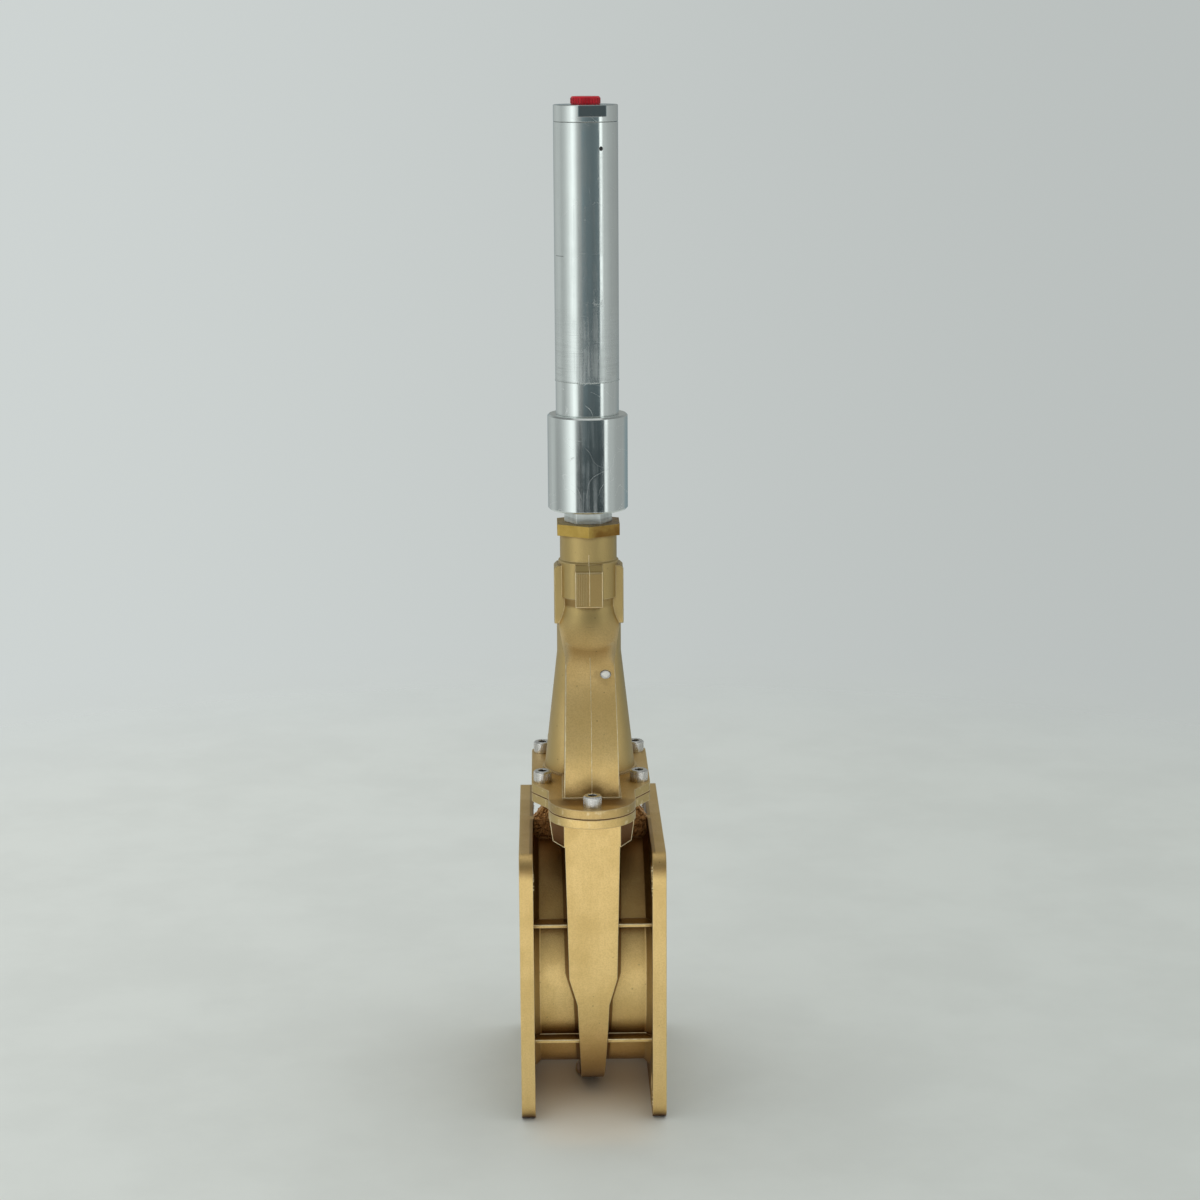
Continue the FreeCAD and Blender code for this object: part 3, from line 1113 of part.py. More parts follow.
def build_rod_gland():
    outer = "Sizes.rod_gland_width / 2"
    inner = f"({RUNNING_BORE} / 2)"
    recess = "(Sizes.rod_seal_width / 2 + Sizes.thread_gap)"
    groove_floor = "(Sizes.rod_gland_width / 2 - Sizes.oring_section - Sizes.thread_gap)"
    wiper_top = "(Sizes.wiper_height + Sizes.thread_gap)"
    seal_low = size("rod_seal_rise")
    seal_high = "(Sizes.rod_seal_rise + Sizes.rod_seal_height + 2 * Sizes.thread_gap)"
    ring_low = "(Sizes.rod_gland_height / 2)"
    top = size("rod_gland_height")
    keep(turned("rod_gland", [
        (recess, "0"), (outer, "0")] + groove_steps(outer, groove_floor, ring_low) + [
        (outer, top), (inner, top), (inner, seal_high), (recess, seal_high), (recess, seal_low),
        (inner, seal_low), (inner, wiper_top), (recess, wiper_top)], SLEEVE_FLOOR), "rod_gland")
    keep(turned("rod_wiper", ring_corners(size("rod_seal_width"), RUNNING_BORE,
                                          size("wiper_height")), SLEEVE_FLOOR), "rod_wiper")
    keep(turned("rod_seal", ring_corners(size("rod_seal_width"), RUNNING_BORE,
                                         size("rod_seal_height")),
                f"{SLEEVE_FLOOR} + {seal_low} + Sizes.thread_gap"), "rod_seal")
    oring("rod_gland_oring", groove_floor, f"{SLEEVE_FLOOR} + {ring_low}")
    keep(turned("gland_circlip", ring_corners(size("circlip_width"), size("circlip_inside"),
                                              size("circlip_thickness")),
                ROD_GLAND_TOP), "gland_circlip")


def build_tube_socket():
    spigot = "Sizes.socket_spigot / 2"
    collar = "(Sizes.tube_width / 2 - Sizes.socket_step)"
    passage = "Sizes.socket_passage / 2"
    nest = "(Sizes.tube_width / 2 - Sizes.tube_foot_step + Sizes.thread_gap)"
    groove_floor = "(Sizes.socket_spigot / 2 - Sizes.oring_section - Sizes.thread_gap)"
    ring_low = "-(Sizes.socket_spigot_depth / 2)"
    shoulder = "(Sizes.socket_height - Sizes.tube_foot_depth)"
    keep(turned("tube_socket", [
        (passage, "-Sizes.socket_spigot_depth"), (spigot, "-Sizes.socket_spigot_depth")]
        + groove_steps(spigot, groove_floor, ring_low) + [
        (spigot, "0"), (collar, "0"), (collar, "Sizes.socket_height"),
        (nest, "Sizes.socket_height"), (nest, shoulder), (passage, shoulder)],
        SLEEVE_TOP), "tube_socket")
    oring("socket_oring", groove_floor, f"{SLEEVE_TOP} + {ring_low}")


def turn_from_front(shape_object, angle):
    """Turn a part round the stem axis, to the right as seen from the front."""
    shape_object.Placement.Rotation = FreeCAD.Rotation(FreeCAD.Vector(0, 0, 1), value(angle))
    shape_object.setExpression("Placement.Rotation.Angle", angle)


def build_tube():
    inner = f"{TUBE_BORE} / 2"
    foot = "(Sizes.tube_width / 2 - Sizes.tube_foot_step)"
    outer = "Sizes.tube_width / 2"
    edge = size("tube_edge")
    shoulder = f"({SOCKET_TOP} - {TUBE_FOOT})"
    top = f"({TUBE_TOP} - {TUBE_FOOT})"
    body = turned("cylinder_tube", [
        (inner, "0"), (foot, "0"), (foot, shoulder), (f"{outer} - {edge}", shoulder),
        (outer, f"{shoulder} + {edge}"), (outer, f"{top} - {edge}"),
        (f"{outer} - {edge}", top), (inner, top)], TUBE_FOOT)
    hole = new_sketch(body, "lock_screw_hole", "XZ_Plane")
    draw_circle(hole, "Sizes.lock_screw_size + 2 * Sizes.thread_gap", "0",
                f"{top} - Sizes.lock_screw_drop")
    pocket(body, hole, outer, forward=True)
    turn_from_front(body, size("lock_screw_turn"))
    keep(body, "cylinder_tube")


def build_lock_screw():
    body = new_body("cap_lock_screw")
    tip = f"({TUBE_BORE} / 2 + Sizes.lock_screw_sink)"
    sketch = new_sketch(body, "lock_screw_round", "XZ_Plane", tip)
    draw_circle(sketch, size("lock_screw_size"), "0", f"{TUBE_TOP} - Sizes.lock_screw_drop")
    pad(body, sketch, "Sizes.tube_wall - 2 * Sizes.lock_screw_sink")
    turn_from_front(body, size("lock_screw_turn"))
    keep(body, "cap_lock_screw")


def build_cap():
    spigot = f"({TUBE_BORE} / 2 - Sizes.thread_gap)"
    outer = "Sizes.tube_width / 2"
    groove_floor = f"({TUBE_BORE} / 2 - 2 * Sizes.thread_gap - Sizes.oring_section)"
    passage = "Sizes.passage_size / 2"
    port = "Sizes.port_size / 2"
    edge = size("tube_edge")
    low = "-Sizes.cap_spigot_depth"
    ring_low = "(-Sizes.cap_spigot_depth / 2)"
    port_low = "(Sizes.cap_height - Sizes.port_depth)"
    body = turned("cylinder_cap", [
        (passage, low), (spigot, low)] + groove_steps(spigot, groove_floor, ring_low) + [
        (spigot, "0"), (outer, "0"), (outer, f"Sizes.cap_height - {edge}"),
        (f"{outer} - {edge}", "Sizes.cap_height"), (port, "Sizes.cap_height"),
        (port, port_low), (passage, port_low)], TUBE_TOP)
    flats = new_sketch(body, "spanner_flats", "XY_Plane", "Sizes.cap_height")
    for sign in ("", "-"):
        draw_outline(flats, box_corners(outer, f"{sign}({outer} - Sizes.cap_flat_depth)",
                                        f"{sign}({outer} + {BEYOND})"))
    pocket(body, flats, size("cap_flat_height"))
    turn_from_front(body, size("cap_turn"))
    keep(body, "cylinder_cap")
    oring("cap_oring", groove_floor, f"{TUBE_TOP} + {ring_low}")


def build_port_plug(name):
    """Hollow plastic plug with its head above zero and its shank below."""
    head = "Sizes.plug_width / 2"
    shank = "(Sizes.port_size / 2 - Sizes.plug_gap)"
    inner = f"({shank} - Sizes.plug_wall)"
    edge = size("plug_edge")
    top = size("plug_head")
    floor = f"({top} - Sizes.plug_wall)"
    low = "-Sizes.plug_shank"
    return turned(name, [
        (inner, low), (shank, low), (shank, "0"), (head, "0"), (head, f"{top} - {edge}"),
        (f"{head} - {edge}", top), ("0", top), ("0", floor), (inner, floor)])


def build_plugs():
    top_plug = build_port_plug("top_port_plug")
    top_plug.setExpression("Placement.Base.z", CAP_TOP)
    keep(top_plug, "top_port_plug")
    side_plug = build_port_plug("side_port_plug")
    side_plug.setExpression("Placement.Base.z", f"{SLEEVE_FOOT} + Sizes.port_rise")
    side_plug.Placement.Rotation = FreeCAD.Rotation(FreeCAD.Vector(1, 0, 0), -90)
    side_plug.setExpression("Placement.Base.y", size("port_face"))
    keep(side_plug, "side_port_plug")


build_valve_body()
build_bonnet()
build_vent_plug()
build_gasket()
build_screws()
build_seals()
build_gate()
build_clevis()
build_clevis_pin()
build_rod()
build_piston()
build_piston_nut()
build_packing()
build_gland_nut()
build_nipple()
build_lower_head()
build_rod_gland()
build_tube_socket()
build_tube()
build_lock_screw()
build_cap()
build_plugs()
doc.recompute()

# Every object must be sound before anything is written.
for item in doc.Objects:
    if "Invalid" in item.State or "Error" in item.State:
        raise ValueError(f"{item.Name} failed: {item.State}")
for part in parts:
    if part.Shape.isNull() or not part.Shape.isValid():
        raise ValueError(f"{part.Label} has no sound shape")

os.makedirs("parts", exist_ok=True)
for part in parts:
    part.Shape.exportStep(f"parts/{part.Label}.step")
print(len(parts), "sub-parts written")
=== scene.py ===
# %% [markdown]
# # A hydraulic slide gate valve, dressed for its picture
# The real object is a brass gate valve for a six inch pipe with a plated oil
# cylinder on top. Its solids come from the CAD model and stay as they are. This
# lesson gives them their finishes, adds the thin lines and ribs that a casting
# and a plastic plug carry, and sets up a plain studio round them.

# %% Load the solids
import json
import math

import bmesh
import bpy
from mathutils import Matrix, Vector


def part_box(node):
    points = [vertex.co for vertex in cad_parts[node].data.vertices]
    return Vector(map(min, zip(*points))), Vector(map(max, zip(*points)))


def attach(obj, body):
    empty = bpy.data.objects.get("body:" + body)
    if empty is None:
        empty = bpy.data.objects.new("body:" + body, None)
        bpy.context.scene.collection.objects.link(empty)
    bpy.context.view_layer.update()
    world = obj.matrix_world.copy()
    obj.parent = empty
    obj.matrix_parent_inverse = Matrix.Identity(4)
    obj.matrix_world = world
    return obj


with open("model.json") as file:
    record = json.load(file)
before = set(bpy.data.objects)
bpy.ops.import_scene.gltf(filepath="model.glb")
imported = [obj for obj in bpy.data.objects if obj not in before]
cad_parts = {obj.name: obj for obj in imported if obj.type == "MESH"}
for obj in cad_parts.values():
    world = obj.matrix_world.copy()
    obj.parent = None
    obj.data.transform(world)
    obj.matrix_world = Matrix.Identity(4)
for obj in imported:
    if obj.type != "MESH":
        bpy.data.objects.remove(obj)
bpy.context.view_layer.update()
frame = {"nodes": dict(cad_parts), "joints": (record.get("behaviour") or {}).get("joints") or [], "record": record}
nodes = frame["nodes"]
print("solids loaded:", len(nodes))

# %% [markdown]
# The solids stand with the foot of the flanges at height 0 and the stem on the
# vertical axis. Stains and thin lines are placed by a few main sizes of the valve,
# all in millimetres. Those that the frame knows are read from it.

# %% Main sizes of the valve
MM = 0.001
TRAVEL = frame["joints"][0]["range_m"][1] / MM
AXIS = 100.0
PIPE_RADIUS = 85.0
DOME_CENTRE, DOME_RADIUS = AXIS + TRAVEL, 89.0
JOINT_UNDERSIDE = 226.5
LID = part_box("bonnet")[0].z / MM
DECK = LID + 6.3
FLANGE_INSIDE = 42.5
MOUTH_FOOT = 207.0
PAD_SIDE, PAD_FACE = 9.6, 24.9
print("gate travel:", round(TRAVEL, 2), "lid and deck:", round(LID, 2), round(DECK, 2))


# %% [markdown]
# Every finish below is a small tree of shader nodes. Typing those trees out
# link by link hides what they do, so short helpers add a node, set its choices
# and plug in its inputs. The steps used most have a helper of their own: a
# product, a soft step, a mixture, a noise. The shader itself is always made by
# hand in its own material.

# %% Helpers for shader trees
def set_inputs(tree, node, inputs):
    """Plug in plain values or the outputs of other nodes."""
    for name, value in inputs.items():
        if isinstance(value, bpy.types.NodeSocket):
            tree.links.new(value, node.inputs[name])
        else:
            node.inputs[name].default_value = value


def add_node(tree, kind, inputs=None, **choices):
    made = tree.nodes.new(kind)
    for name, choice in choices.items():
        setattr(made, name, choice)
    set_inputs(tree, made, inputs or {})
    return made


def arithmetic(tree, operation, first, second=0.0, third=0.0):
    made = add_node(tree, "ShaderNodeMath", {0: first, 1: second, 2: third}, operation=operation)
    return made.outputs[0]


def times(tree, first, second):
    return arithmetic(tree, "MULTIPLY", first, second)


def ramp_between(tree, value, low, high, start=0.0, end=1.0):
    """Smooth step of a value: start below low, end above high."""
    made = add_node(tree, "ShaderNodeMapRange",
                    {"Value": value, "From Min": low, "From Max": high,
                     "To Min": start, "To Max": end},
                    interpolation_type="SMOOTHSTEP")
    return made.outputs["Result"]


def mix_colours(tree, share, first, second, how="MIX"):
    made = add_node(tree, "ShaderNodeMix", {0: share, 6: first, 7: second}, data_type="RGBA",
                    blend_type=how)
    return made.outputs[2]


def tone(colour, share, lift=0.0):
    """Darker or paler version of a colour that isn't a node's output."""
    return tuple(share * part + lift for part in colour[:3]) + (1.0,)


def noise(tree, point, scale, detail, roughness=0.5, distortion=0.0):
    made = add_node(tree, "ShaderNodeTexNoise",
                    {"Vector": point, "Scale": scale, "Detail": detail,
                     "Roughness": roughness, "Distortion": distortion})
    return made.outputs["Fac"]


def object_point(tree):
    return add_node(tree, "ShaderNodeTexCoord").outputs["Object"]


def true_normal(tree):
    return add_node(tree, "ShaderNodeNewGeometry").outputs["Normal"]


def scaled(tree, point, scale):
    return add_node(tree, "ShaderNodeMapping", {"Vector": point, "Scale": scale}).outputs[0]


def axes_of(tree, vector):
    return add_node(tree, "ShaderNodeSeparateXYZ", {0: vector}).outputs


def vector_of(tree, **parts):
    return add_node(tree, "ShaderNodeCombineXYZ", parts).outputs[0]


def measure(tree, operation, first, second=(0.0, 0.0, 0.0)):
    """Number from vectors: a LENGTH, a DISTANCE or a DOT_PRODUCT."""
    made = add_node(tree, "ShaderNodeVectorMath", {0: first, 1: second}, operation=operation)
    return made.outputs["Value"]


def new_group(name, inputs, outputs):
    """Shader group. Its inputs are numbers with a default, and so are its outputs
    apart from a Normal."""
    tree = bpy.data.node_groups.new(name, "ShaderNodeTree")
    for socket, default in inputs:
        made = tree.interface.new_socket(socket, in_out="INPUT", socket_type="NodeSocketFloat")
        made.default_value = default
    for socket in outputs:
        kind = "Vector" if socket == "Normal" else "Float"
        tree.interface.new_socket(socket, in_out="OUTPUT", socket_type="NodeSocket" + kind)
    print("shader group:", name, "for", ", ".join(outputs))
    return tree, tree.nodes.new("NodeGroupInput").outputs, tree.nodes.new("NodeGroupOutput")


def place_group(tree, group, **values):
    inputs = {name.replace("_", " "): value for name, value in values.items()}
    return add_node(tree, "ShaderNodeGroup", inputs, node_tree=group).outputs


# %% [markdown]
# No edge of a casting or a turned part is perfectly sharp, and the worn edge
# catches the light. The Bevel node looks at the surface within a small radius
# and bends the normal round the edge, without any extra faces. Where the bent
# normal departs from the true one there is an edge or a corner. Ambient
# occlusion tells them apart, and it also gives the painted shade: over a short
# reach it finds the seams and over a long one the deep recesses, and the
# finishes darken both as painted shade. Seams on faces that look up get less of
# this painted shade.

# %% Shared group: edges, and painted shade in seams and recesses
edges_and_painted_shade, given, result = new_group(
    "edges_and_painted_shade", [("Radius", 1 * MM), ("Seam reach", 4 * MM), ("Recess reach", 40 * MM)],
    ["Normal", "Edge", "Seam", "Recess"])
tree = edges_and_painted_shade
rounded = add_node(tree, "ShaderNodeBevel", {"Radius": given["Radius"]},
                   samples=6).outputs["Normal"]
flat = true_normal(tree)
departure = arithmetic(tree, "SUBTRACT", 1.0, measure(tree, "DOT_PRODUCT", rounded, flat))
near_openness, far_openness = [
    add_node(tree, "ShaderNodeAmbientOcclusion", {"Distance": reach}, samples=6).outputs["AO"]
    for reach in (given["Seam reach"], given["Recess reach"])]
# Painted shade: dark seams, weaker on faces that look up, and dark deep recesses.
seam_shade = times(tree, ramp_between(tree, near_openness, 0.5, 0.8, 1.0, 0.0),
             ramp_between(tree, axes_of(tree, flat)["Z"], 0.35, 0.8, 1.0, 0.15))
edge = times(tree, ramp_between(tree, departure, 0.01, 0.12),
             arithmetic(tree, "SUBTRACT", 1.0, seam_shade))
recess_shade = arithmetic(tree, "SUBTRACT", 1.0, far_openness)
set_inputs(tree, result, {"Normal": rounded, "Edge": edge, "Seam": seam_shade, "Recess": recess_shade})


# %% [markdown]
# Shot blasting leaves a casting covered in tiny dents of about half a
# millimetre, and the metal under them is never quite even. Two noises of very
# different size give both: the fine one is used as height and, at its peaks, as
# specks, the broad one as a mottling of the colour. A few sparse pits come from
# cells of a Voronoi pattern, and a stretched noise gives the upright strokes of
# a wire brush.

# %% Shared group: grain of a blasted casting
cast_grain, given, result = new_group(
    "cast_grain", [("Grains per metre", 900.0), ("Patches per metre", 32.0)],
    ["Height", "Mottle", "Pit", "Stroke", "Speck"])
tree = cast_grain
point = object_point(tree)
fine = noise(tree, point, given["Grains per metre"], 3.0, 0.6)
broad = noise(tree, point, given["Patches per metre"], 5.0, 0.6)
cells = add_node(tree, "ShaderNodeTexVoronoi", {"Vector": point, "Scale": 210.0}).outputs
chance = add_node(tree, "ShaderNodeSeparateColor", {0: cells["Color"]}).outputs[0]
pit = times(tree, ramp_between(tree, cells["Distance"], 0.06, 0.16, 1.0, 0.0),
            arithmetic(tree, "GREATER_THAN", chance, 0.86))
strokes = noise(tree, scaled(tree, point, (1.0, 1.0, 0.05)), 520.0, 3.0)
set_inputs(tree, result, {
    "Height": fine, "Speck": ramp_between(tree, fine, 0.42, 0.62), "Pit": pit,
    "Mottle": ramp_between(tree, broad, 0.3, 0.7),
    "Stroke": ramp_between(tree, strokes, 0.35, 0.65)})


# %% [markdown]
# A turned part shows fine rings round its axis, and a plated one also gets thin
# curved scratches where it was handled. The rings are a noise that is squeezed
# along the stem axis, the streaks one that is stretched along it. A scratch is
# the thin line where a broad noise crosses its middle value, kept only here and
# there by a second noise.

# %% Shared groups: turning rings and scratches
turning_rings, given, result = new_group(
    "turning_rings", [("Rings per metre", 2500.0)], ["Height", "Streak", "Cloud"])
tree = turning_rings
point = object_point(tree)
rings = noise(tree, scaled(tree, point, (0.02, 0.02, 1.0)), given["Rings per metre"], 2.0)
streaks = noise(tree, scaled(tree, point, (1.0, 1.0, 0.03)), 420.0, 3.0)
clouds = noise(tree, point, 55.0, 5.0, 0.65)
set_inputs(tree, result, {
    "Height": rings, "Streak": streaks, "Cloud": ramp_between(tree, clouds, 0.3, 0.7)})

scratches, given, result = new_group(
    "scratches", [("Lines per metre", 44.0), ("Width", 0.0045), ("Cover", 0.5)], ["Scratch"])
tree = scratches
point = object_point(tree)
wander = noise(tree, point, given["Lines per metre"], 1.0, distortion=1.0)
off_line = arithmetic(tree, "ABSOLUTE", arithmetic(tree, "SUBTRACT", wander, 0.5))
kept = arithmetic(tree, "GREATER_THAN", noise(tree, point, 48.0, 1.0), given["Cover"])
set_inputs(tree, result, {
    "Scratch": times(tree, ramp_between(tree, off_line, 0.0, given["Width"], 1.0, 0.0), kept)})


# %% [markdown]
# The castings are darker in places. Round the vent plug and on the rough web it
# is their own oxide. In the pocket under the joint beside the housing, round the
# foot of the dome, at the root of the housing, on the front of the deck, under
# the boss, at the inner corners of the flanges, at the nose and low on the front
# it is painted shade. Round the end screws, on the pads and on the lid rim the
# metal is only made a little darker. Each place is a patch that fills a few
# ranges of the valve's own coordinates, and a noise breaks up the rim of some. A
# range is a measure, its two ends and its soft rim, in millimetres.

# %% Shared group: oxide stains and painted shade
stains_and_painted_shade, given, result = new_group(
    "stains_and_painted_shade", [("Wander", 14 * MM)], ["Stain", "Web", "Dull", "Rub", "Clean"])
tree = stains_and_painted_shade
point = object_point(tree)
across, depth, up = axes_of(tree, point)
side = arithmetic(tree, "ABSOLUTE", across)
along = arithmetic(tree, "ABSOLUTE", depth)
drift = arithmetic(tree, "SUBTRACT", noise(tree, point, 130.0, 3.0), 0.5)
wobble = times(tree, drift, given["Wander"])
wavy_up = arithmetic(tree, "ADD", up, wobble)


def between(value, low, high, soft):
    """1 between two lengths in millimetres, falling to 0 over a soft rim."""
    low, high, soft = low * MM, high * MM, soft * MM
    return times(tree, ramp_between(tree, value, low - soft, low + soft),
                 ramp_between(tree, value, high - soft, high + soft, 1.0, 0.0))


def patch(first_range, *more_ranges):
    """1 where every measure lies in its range."""
    total = between(*first_range)
    for one_range in more_ranges:
        total = times(tree, total, between(*one_range))
    return total


# %% [markdown]
# The halo of a screw and the ring of the vent plug are round, so the distance
# from one point bounds each. The painted shade at the root of the housing follows
# its sloping side and the round of the pipe.

# %% Distances that bound the round marks and the sloping painted shade
squeezed = vector_of(tree, X=times(tree, across, 0.6), Y=along, Z=up)
from_screw = measure(tree, "DISTANCE", squeezed, (0.0, 90 * MM, 244 * MM))
from_vent = measure(tree, "DISTANCE", point, (9 * MM, -56 * MM, 319 * MM))
axle = vector_of(tree, Y=depth, Z=arithmetic(tree, "SUBTRACT", up, AXIS * MM))
from_axis = measure(tree, "LENGTH", axle)
half_width = 8 * MM
for low, high, growth in ((2, 88, 3.4), (88, 108, 5.8), (108, JOINT_UNDERSIDE, 2.8)):
    grown = add_node(tree, "ShaderNodeMapRange", {"Value": up, "From Min": low * MM,
                                                  "From Max": high * MM, "To Max": growth * MM})
    half_width = arithmetic(tree, "ADD", half_width, grown.outputs["Result"])
beside_housing = arithmetic(tree, "SUBTRACT", side, half_width)
print("nodes for the measures:", len(tree.nodes))

# %% [markdown]
# Each patch of stain or painted shade has a strength. Where two meet the stronger
# one counts, so the result is one number, used as a mask.

# %% Stains and painted shade by their strength
# Painted shade: pocket, housing root, dome foot, deck front, nose, low front, flange corners, under the boss
# (darker to the left).
pocket = patch((side, 20.2, 45, 0.4), (up, 200, 226.2, 0.6), (along, 4, 102, 2))
screw_halo = between(arithmetic(tree, "MULTIPLY_ADD", wobble, 0.5, from_screw), -9, 4.6, 2)
housing_root = patch((beside_housing, -0.6, 2.9, 0.4), (from_axis, 84, 92, 1))
dome_foot = patch((wavy_up, 238, 243.5, 3), (along, 80, 96, 3), (across, -3, 19, 4))
deck_front = patch((up, 239, 240.3, 0.3), (wavy_up, 232, 249, 3), (along, 88, 108, 6),
                   (side, -1, 24, 6))
nose = patch((wavy_up, -5, 15, 8), (side, -1, 12, 1), (along, -1, 70, 6))
low_front = times(tree, ramp_between(tree, up, 12 * MM, 88 * MM, 1.0, 0.0),
                  between(side, -1, 13, 1))
vent_ring = between(arithmetic(tree, "ADD", from_vent, wobble), -9, 6.5, 3)
flange_corner = patch((up, 186, 196, 4), (along, 92, 102, 2), (side, 42, 54, 0.5))
under_boss = times(tree, patch((up, 363.5, 369, 1.2), (along, 6, 22.5, 2), (side, -1, 18, 1)),
                   ramp_between(tree, across, -4 * MM, 6 * MM, 1.0, 0.35))
pads = patch((up, 350, 392, 0.5), (along, 24.2, 26, 0.2), (side, -1, 10, 0.5))
lid_rim = patch((up, LID, DECK + 0.5, 0.3), (along, 90, 121, 2))
stain_and_shade = 0.0
for strength, mask in ((1.0, pocket), (0.55, screw_halo), (0.85, housing_root), (0.65, dome_foot),
                       (0.75, deck_front), (0.85, nose), (0.58, low_front), (0.22, vent_ring),
                       (0.55, flange_corner), (0.55, under_boss), (0.3, pads), (0.28, lid_rim)):
    stain_and_shade = arithmetic(tree, "MAXIMUM", stain_and_shade, times(tree, mask, strength))
print("nodes with the stains:", len(tree.nodes))

# %% [markdown]
# Four more masks come from the same measures. The web is rough and brown all over.
# The tower's upper end stays dull, and all faces that look sideways are darkened
# as painted shade. The rims of the joint are rubbed bright here and there, partly
# wear and partly painted highlight. On the strip of each flange beside the pipe,
# the painted shade of the seams is made lighter.

# %% Web, dull and side-shaded, rubbed and highlit, and lighter-seam places
web = patch((side, 19, 42.2, 0.5), (along, -5, 4.5, 0.6), (up, 176, 224, 4))
# Painted shade on faces that look sideways.
sidelong_shade = ramp_between(tree, arithmetic(tree, "ABSOLUTE", axes_of(tree, true_normal(tree))["X"]),
                        0.5, 0.95)
dull_and_side_shade = arithmetic(tree, "MAXIMUM", ramp_between(tree, up, 342 * MM, 358 * MM), sidelong_shade)
# Partly wear, partly painted highlight on the rims of the joint.
rub_and_highlight = times(tree, between(up, 227, 239.4, 0.5),
            ramp_between(tree, noise(tree, point, 170.0, 4.0), 0.55, 0.72))
# Lightens the painted seam shade beside the pipe.
seam_shade_lightening = patch((side, 37.4, 41.9, 0.3), (up, 59, 141.5, 1.5))
set_inputs(tree, result, {"Stain": stain_and_shade, "Web": web, "Dull": dull_and_side_shade, "Rub": rub_and_highlight, "Clean": seam_shade_lightening})
print("nodes with all five masks:", len(tree.nodes))


# %% [markdown]
# The two castings are the same alloy, blasted to a dull gold. The tree starts
# from that gold, lets it wander a little from patch to patch, browns it with
# painted shade in the recesses and seams and with the stains and painted shade of
# the patches, and brightens its worn edges and, as painted highlight, the rubbed
# rims. The grain goes into the Bump node together with the rounded normal, so an
# edge looks worn and rough at the same time. Where the dome flows into the tower,
# the normal is rounded over a wide radius. The web that was never cleaned gets
# coarse lumps as well.

# %% Finish: cast brass
finishes = {}


def new_finish(name):
    """Empty material with its shader, kept under its name."""
    material = bpy.data.materials.new(name)
    material.use_nodes = True
    finishes[name] = material
    tree = material.node_tree
    print("finish:", name)
    return tree, tree.nodes["Principled BSDF"]


def bumped(tree, height, distance, normal, strength=1.0):
    made = add_node(tree, "ShaderNodeBump",
                    {"Height": height, "Distance": distance, "Normal": normal,
                     "Strength": strength})
    return made.outputs["Normal"]


LIT_BRASS = (0.96, 0.69, 0.305, 1.0)
PATCHY_BRASS = (0.84, 0.59, 0.24, 1.0)
BROWN_OXIDE_AND_SHADE = (0.17, 0.072, 0.018, 1.0)
DULL_AND_SHADED_BRASS = (0.53, 0.39, 0.165, 1.0)
SPECK_BRASS = (0.66, 0.44, 0.17, 1.0)
WEB_BRASS = (0.86, 0.45, 0.175, 1.0)
BRIGHT_WEAR_AND_HIGHLIGHT_BRASS = (1.0, 0.86, 0.56, 1.0)

tree, shader = new_finish("cast_brass")
point = object_point(tree)
height = axes_of(tree, point)["Z"]
flowing = times(tree, ramp_between(tree, height, 326 * MM, 333 * MM),
                ramp_between(tree, height, 346 * MM, 352 * MM, 1.0, 0.0))
rounding = arithmetic(tree, "MULTIPLY_ADD", flowing, 8 * MM, 1.2 * MM)
surface = place_group(tree, edges_and_painted_shade, Radius=rounding, Seam_reach=5 * MM)
grain = place_group(tree, cast_grain)
marks = place_group(tree, stains_and_painted_shade)
gold = mix_colours(tree, grain["Mottle"], LIT_BRASS, PATCHY_BRASS)
for mask, share, colour in ((grain["Stroke"], 0.3, PATCHY_BRASS),
                            (grain["Speck"], 0.3, SPECK_BRASS),
                            (marks["Dull"], 1.0, DULL_AND_SHADED_BRASS),
                            (grain["Pit"], 0.45, BROWN_OXIDE_AND_SHADE),
                            (marks["Web"], 1.0, WEB_BRASS)):
    gold = mix_colours(tree, times(tree, mask, share), gold, colour)
# Painted shade: recesses and seams turn brown, less on the lighter flange strips, and the patches add stains and
# painted shade.
dark = arithmetic(tree, "MAXIMUM", ramp_between(tree, surface["Recess"], 0.44, 0.90),
                  times(tree, surface["Seam"], 0.8))
dark = times(tree, dark, ramp_between(tree, marks["Clean"], 0.0, 1.0, 1.0, 0.3))
dark = arithmetic(tree, "MAXIMUM", dark, marks["Stain"])
browned = mix_colours(tree, dark, gold, BROWN_OXIDE_AND_SHADE)
# Worn edges and rubbed rims turn paler; on the rims this is partly painted highlight.
bared_and_highlit = times(tree, arithmetic(tree, "MAXIMUM", surface["Edge"], marks["Rub"]), 0.5)
worn = mix_colours(tree, bared_and_highlit, browned, BRIGHT_WEAR_AND_HIGHLIGHT_BRASS)
fine_relief = bumped(tree, grain["Height"], 0.22 * MM, surface["Normal"], 0.8)
lumps = times(tree, noise(tree, point, 330.0, 2.0), marks["Web"])
set_inputs(tree, shader, {
    "Base Color": worn, "Metallic": 1.0,
    "Roughness": ramp_between(tree, grain["Mottle"], 0.0, 1.0, 0.40, 0.47),
    "Normal": bumped(tree, lumps, 2.2 * MM, fine_relief)})

# %% [markdown]
# The packing nut and the inner bushes are bar brass, cut on a machine: yellower,
# smoother and marked by the tool. One half of the nut is darkened as painted shade,
# and its recesses get painted shade as well. The thin flash lines of the castings
# are the casting's own metal rubbed bright, so they get a lighter mixture, which is
# also a painted highlight.

# %% Finishes: machined brass, and bright flash with painted highlight
BAR_BRASS = (0.52, 0.355, 0.10, 1.0)
CLOUDY_BAR_BRASS = (0.40, 0.26, 0.06, 1.0)
WORN_BAR_BRASS = (0.85, 0.66, 0.30, 1.0)
RUBBED_FLASH_AND_HIGHLIGHT = (1.0, 0.90, 0.64, 1.0)
PLAIN_FLASH = (0.86, 0.68, 0.38, 1.0)

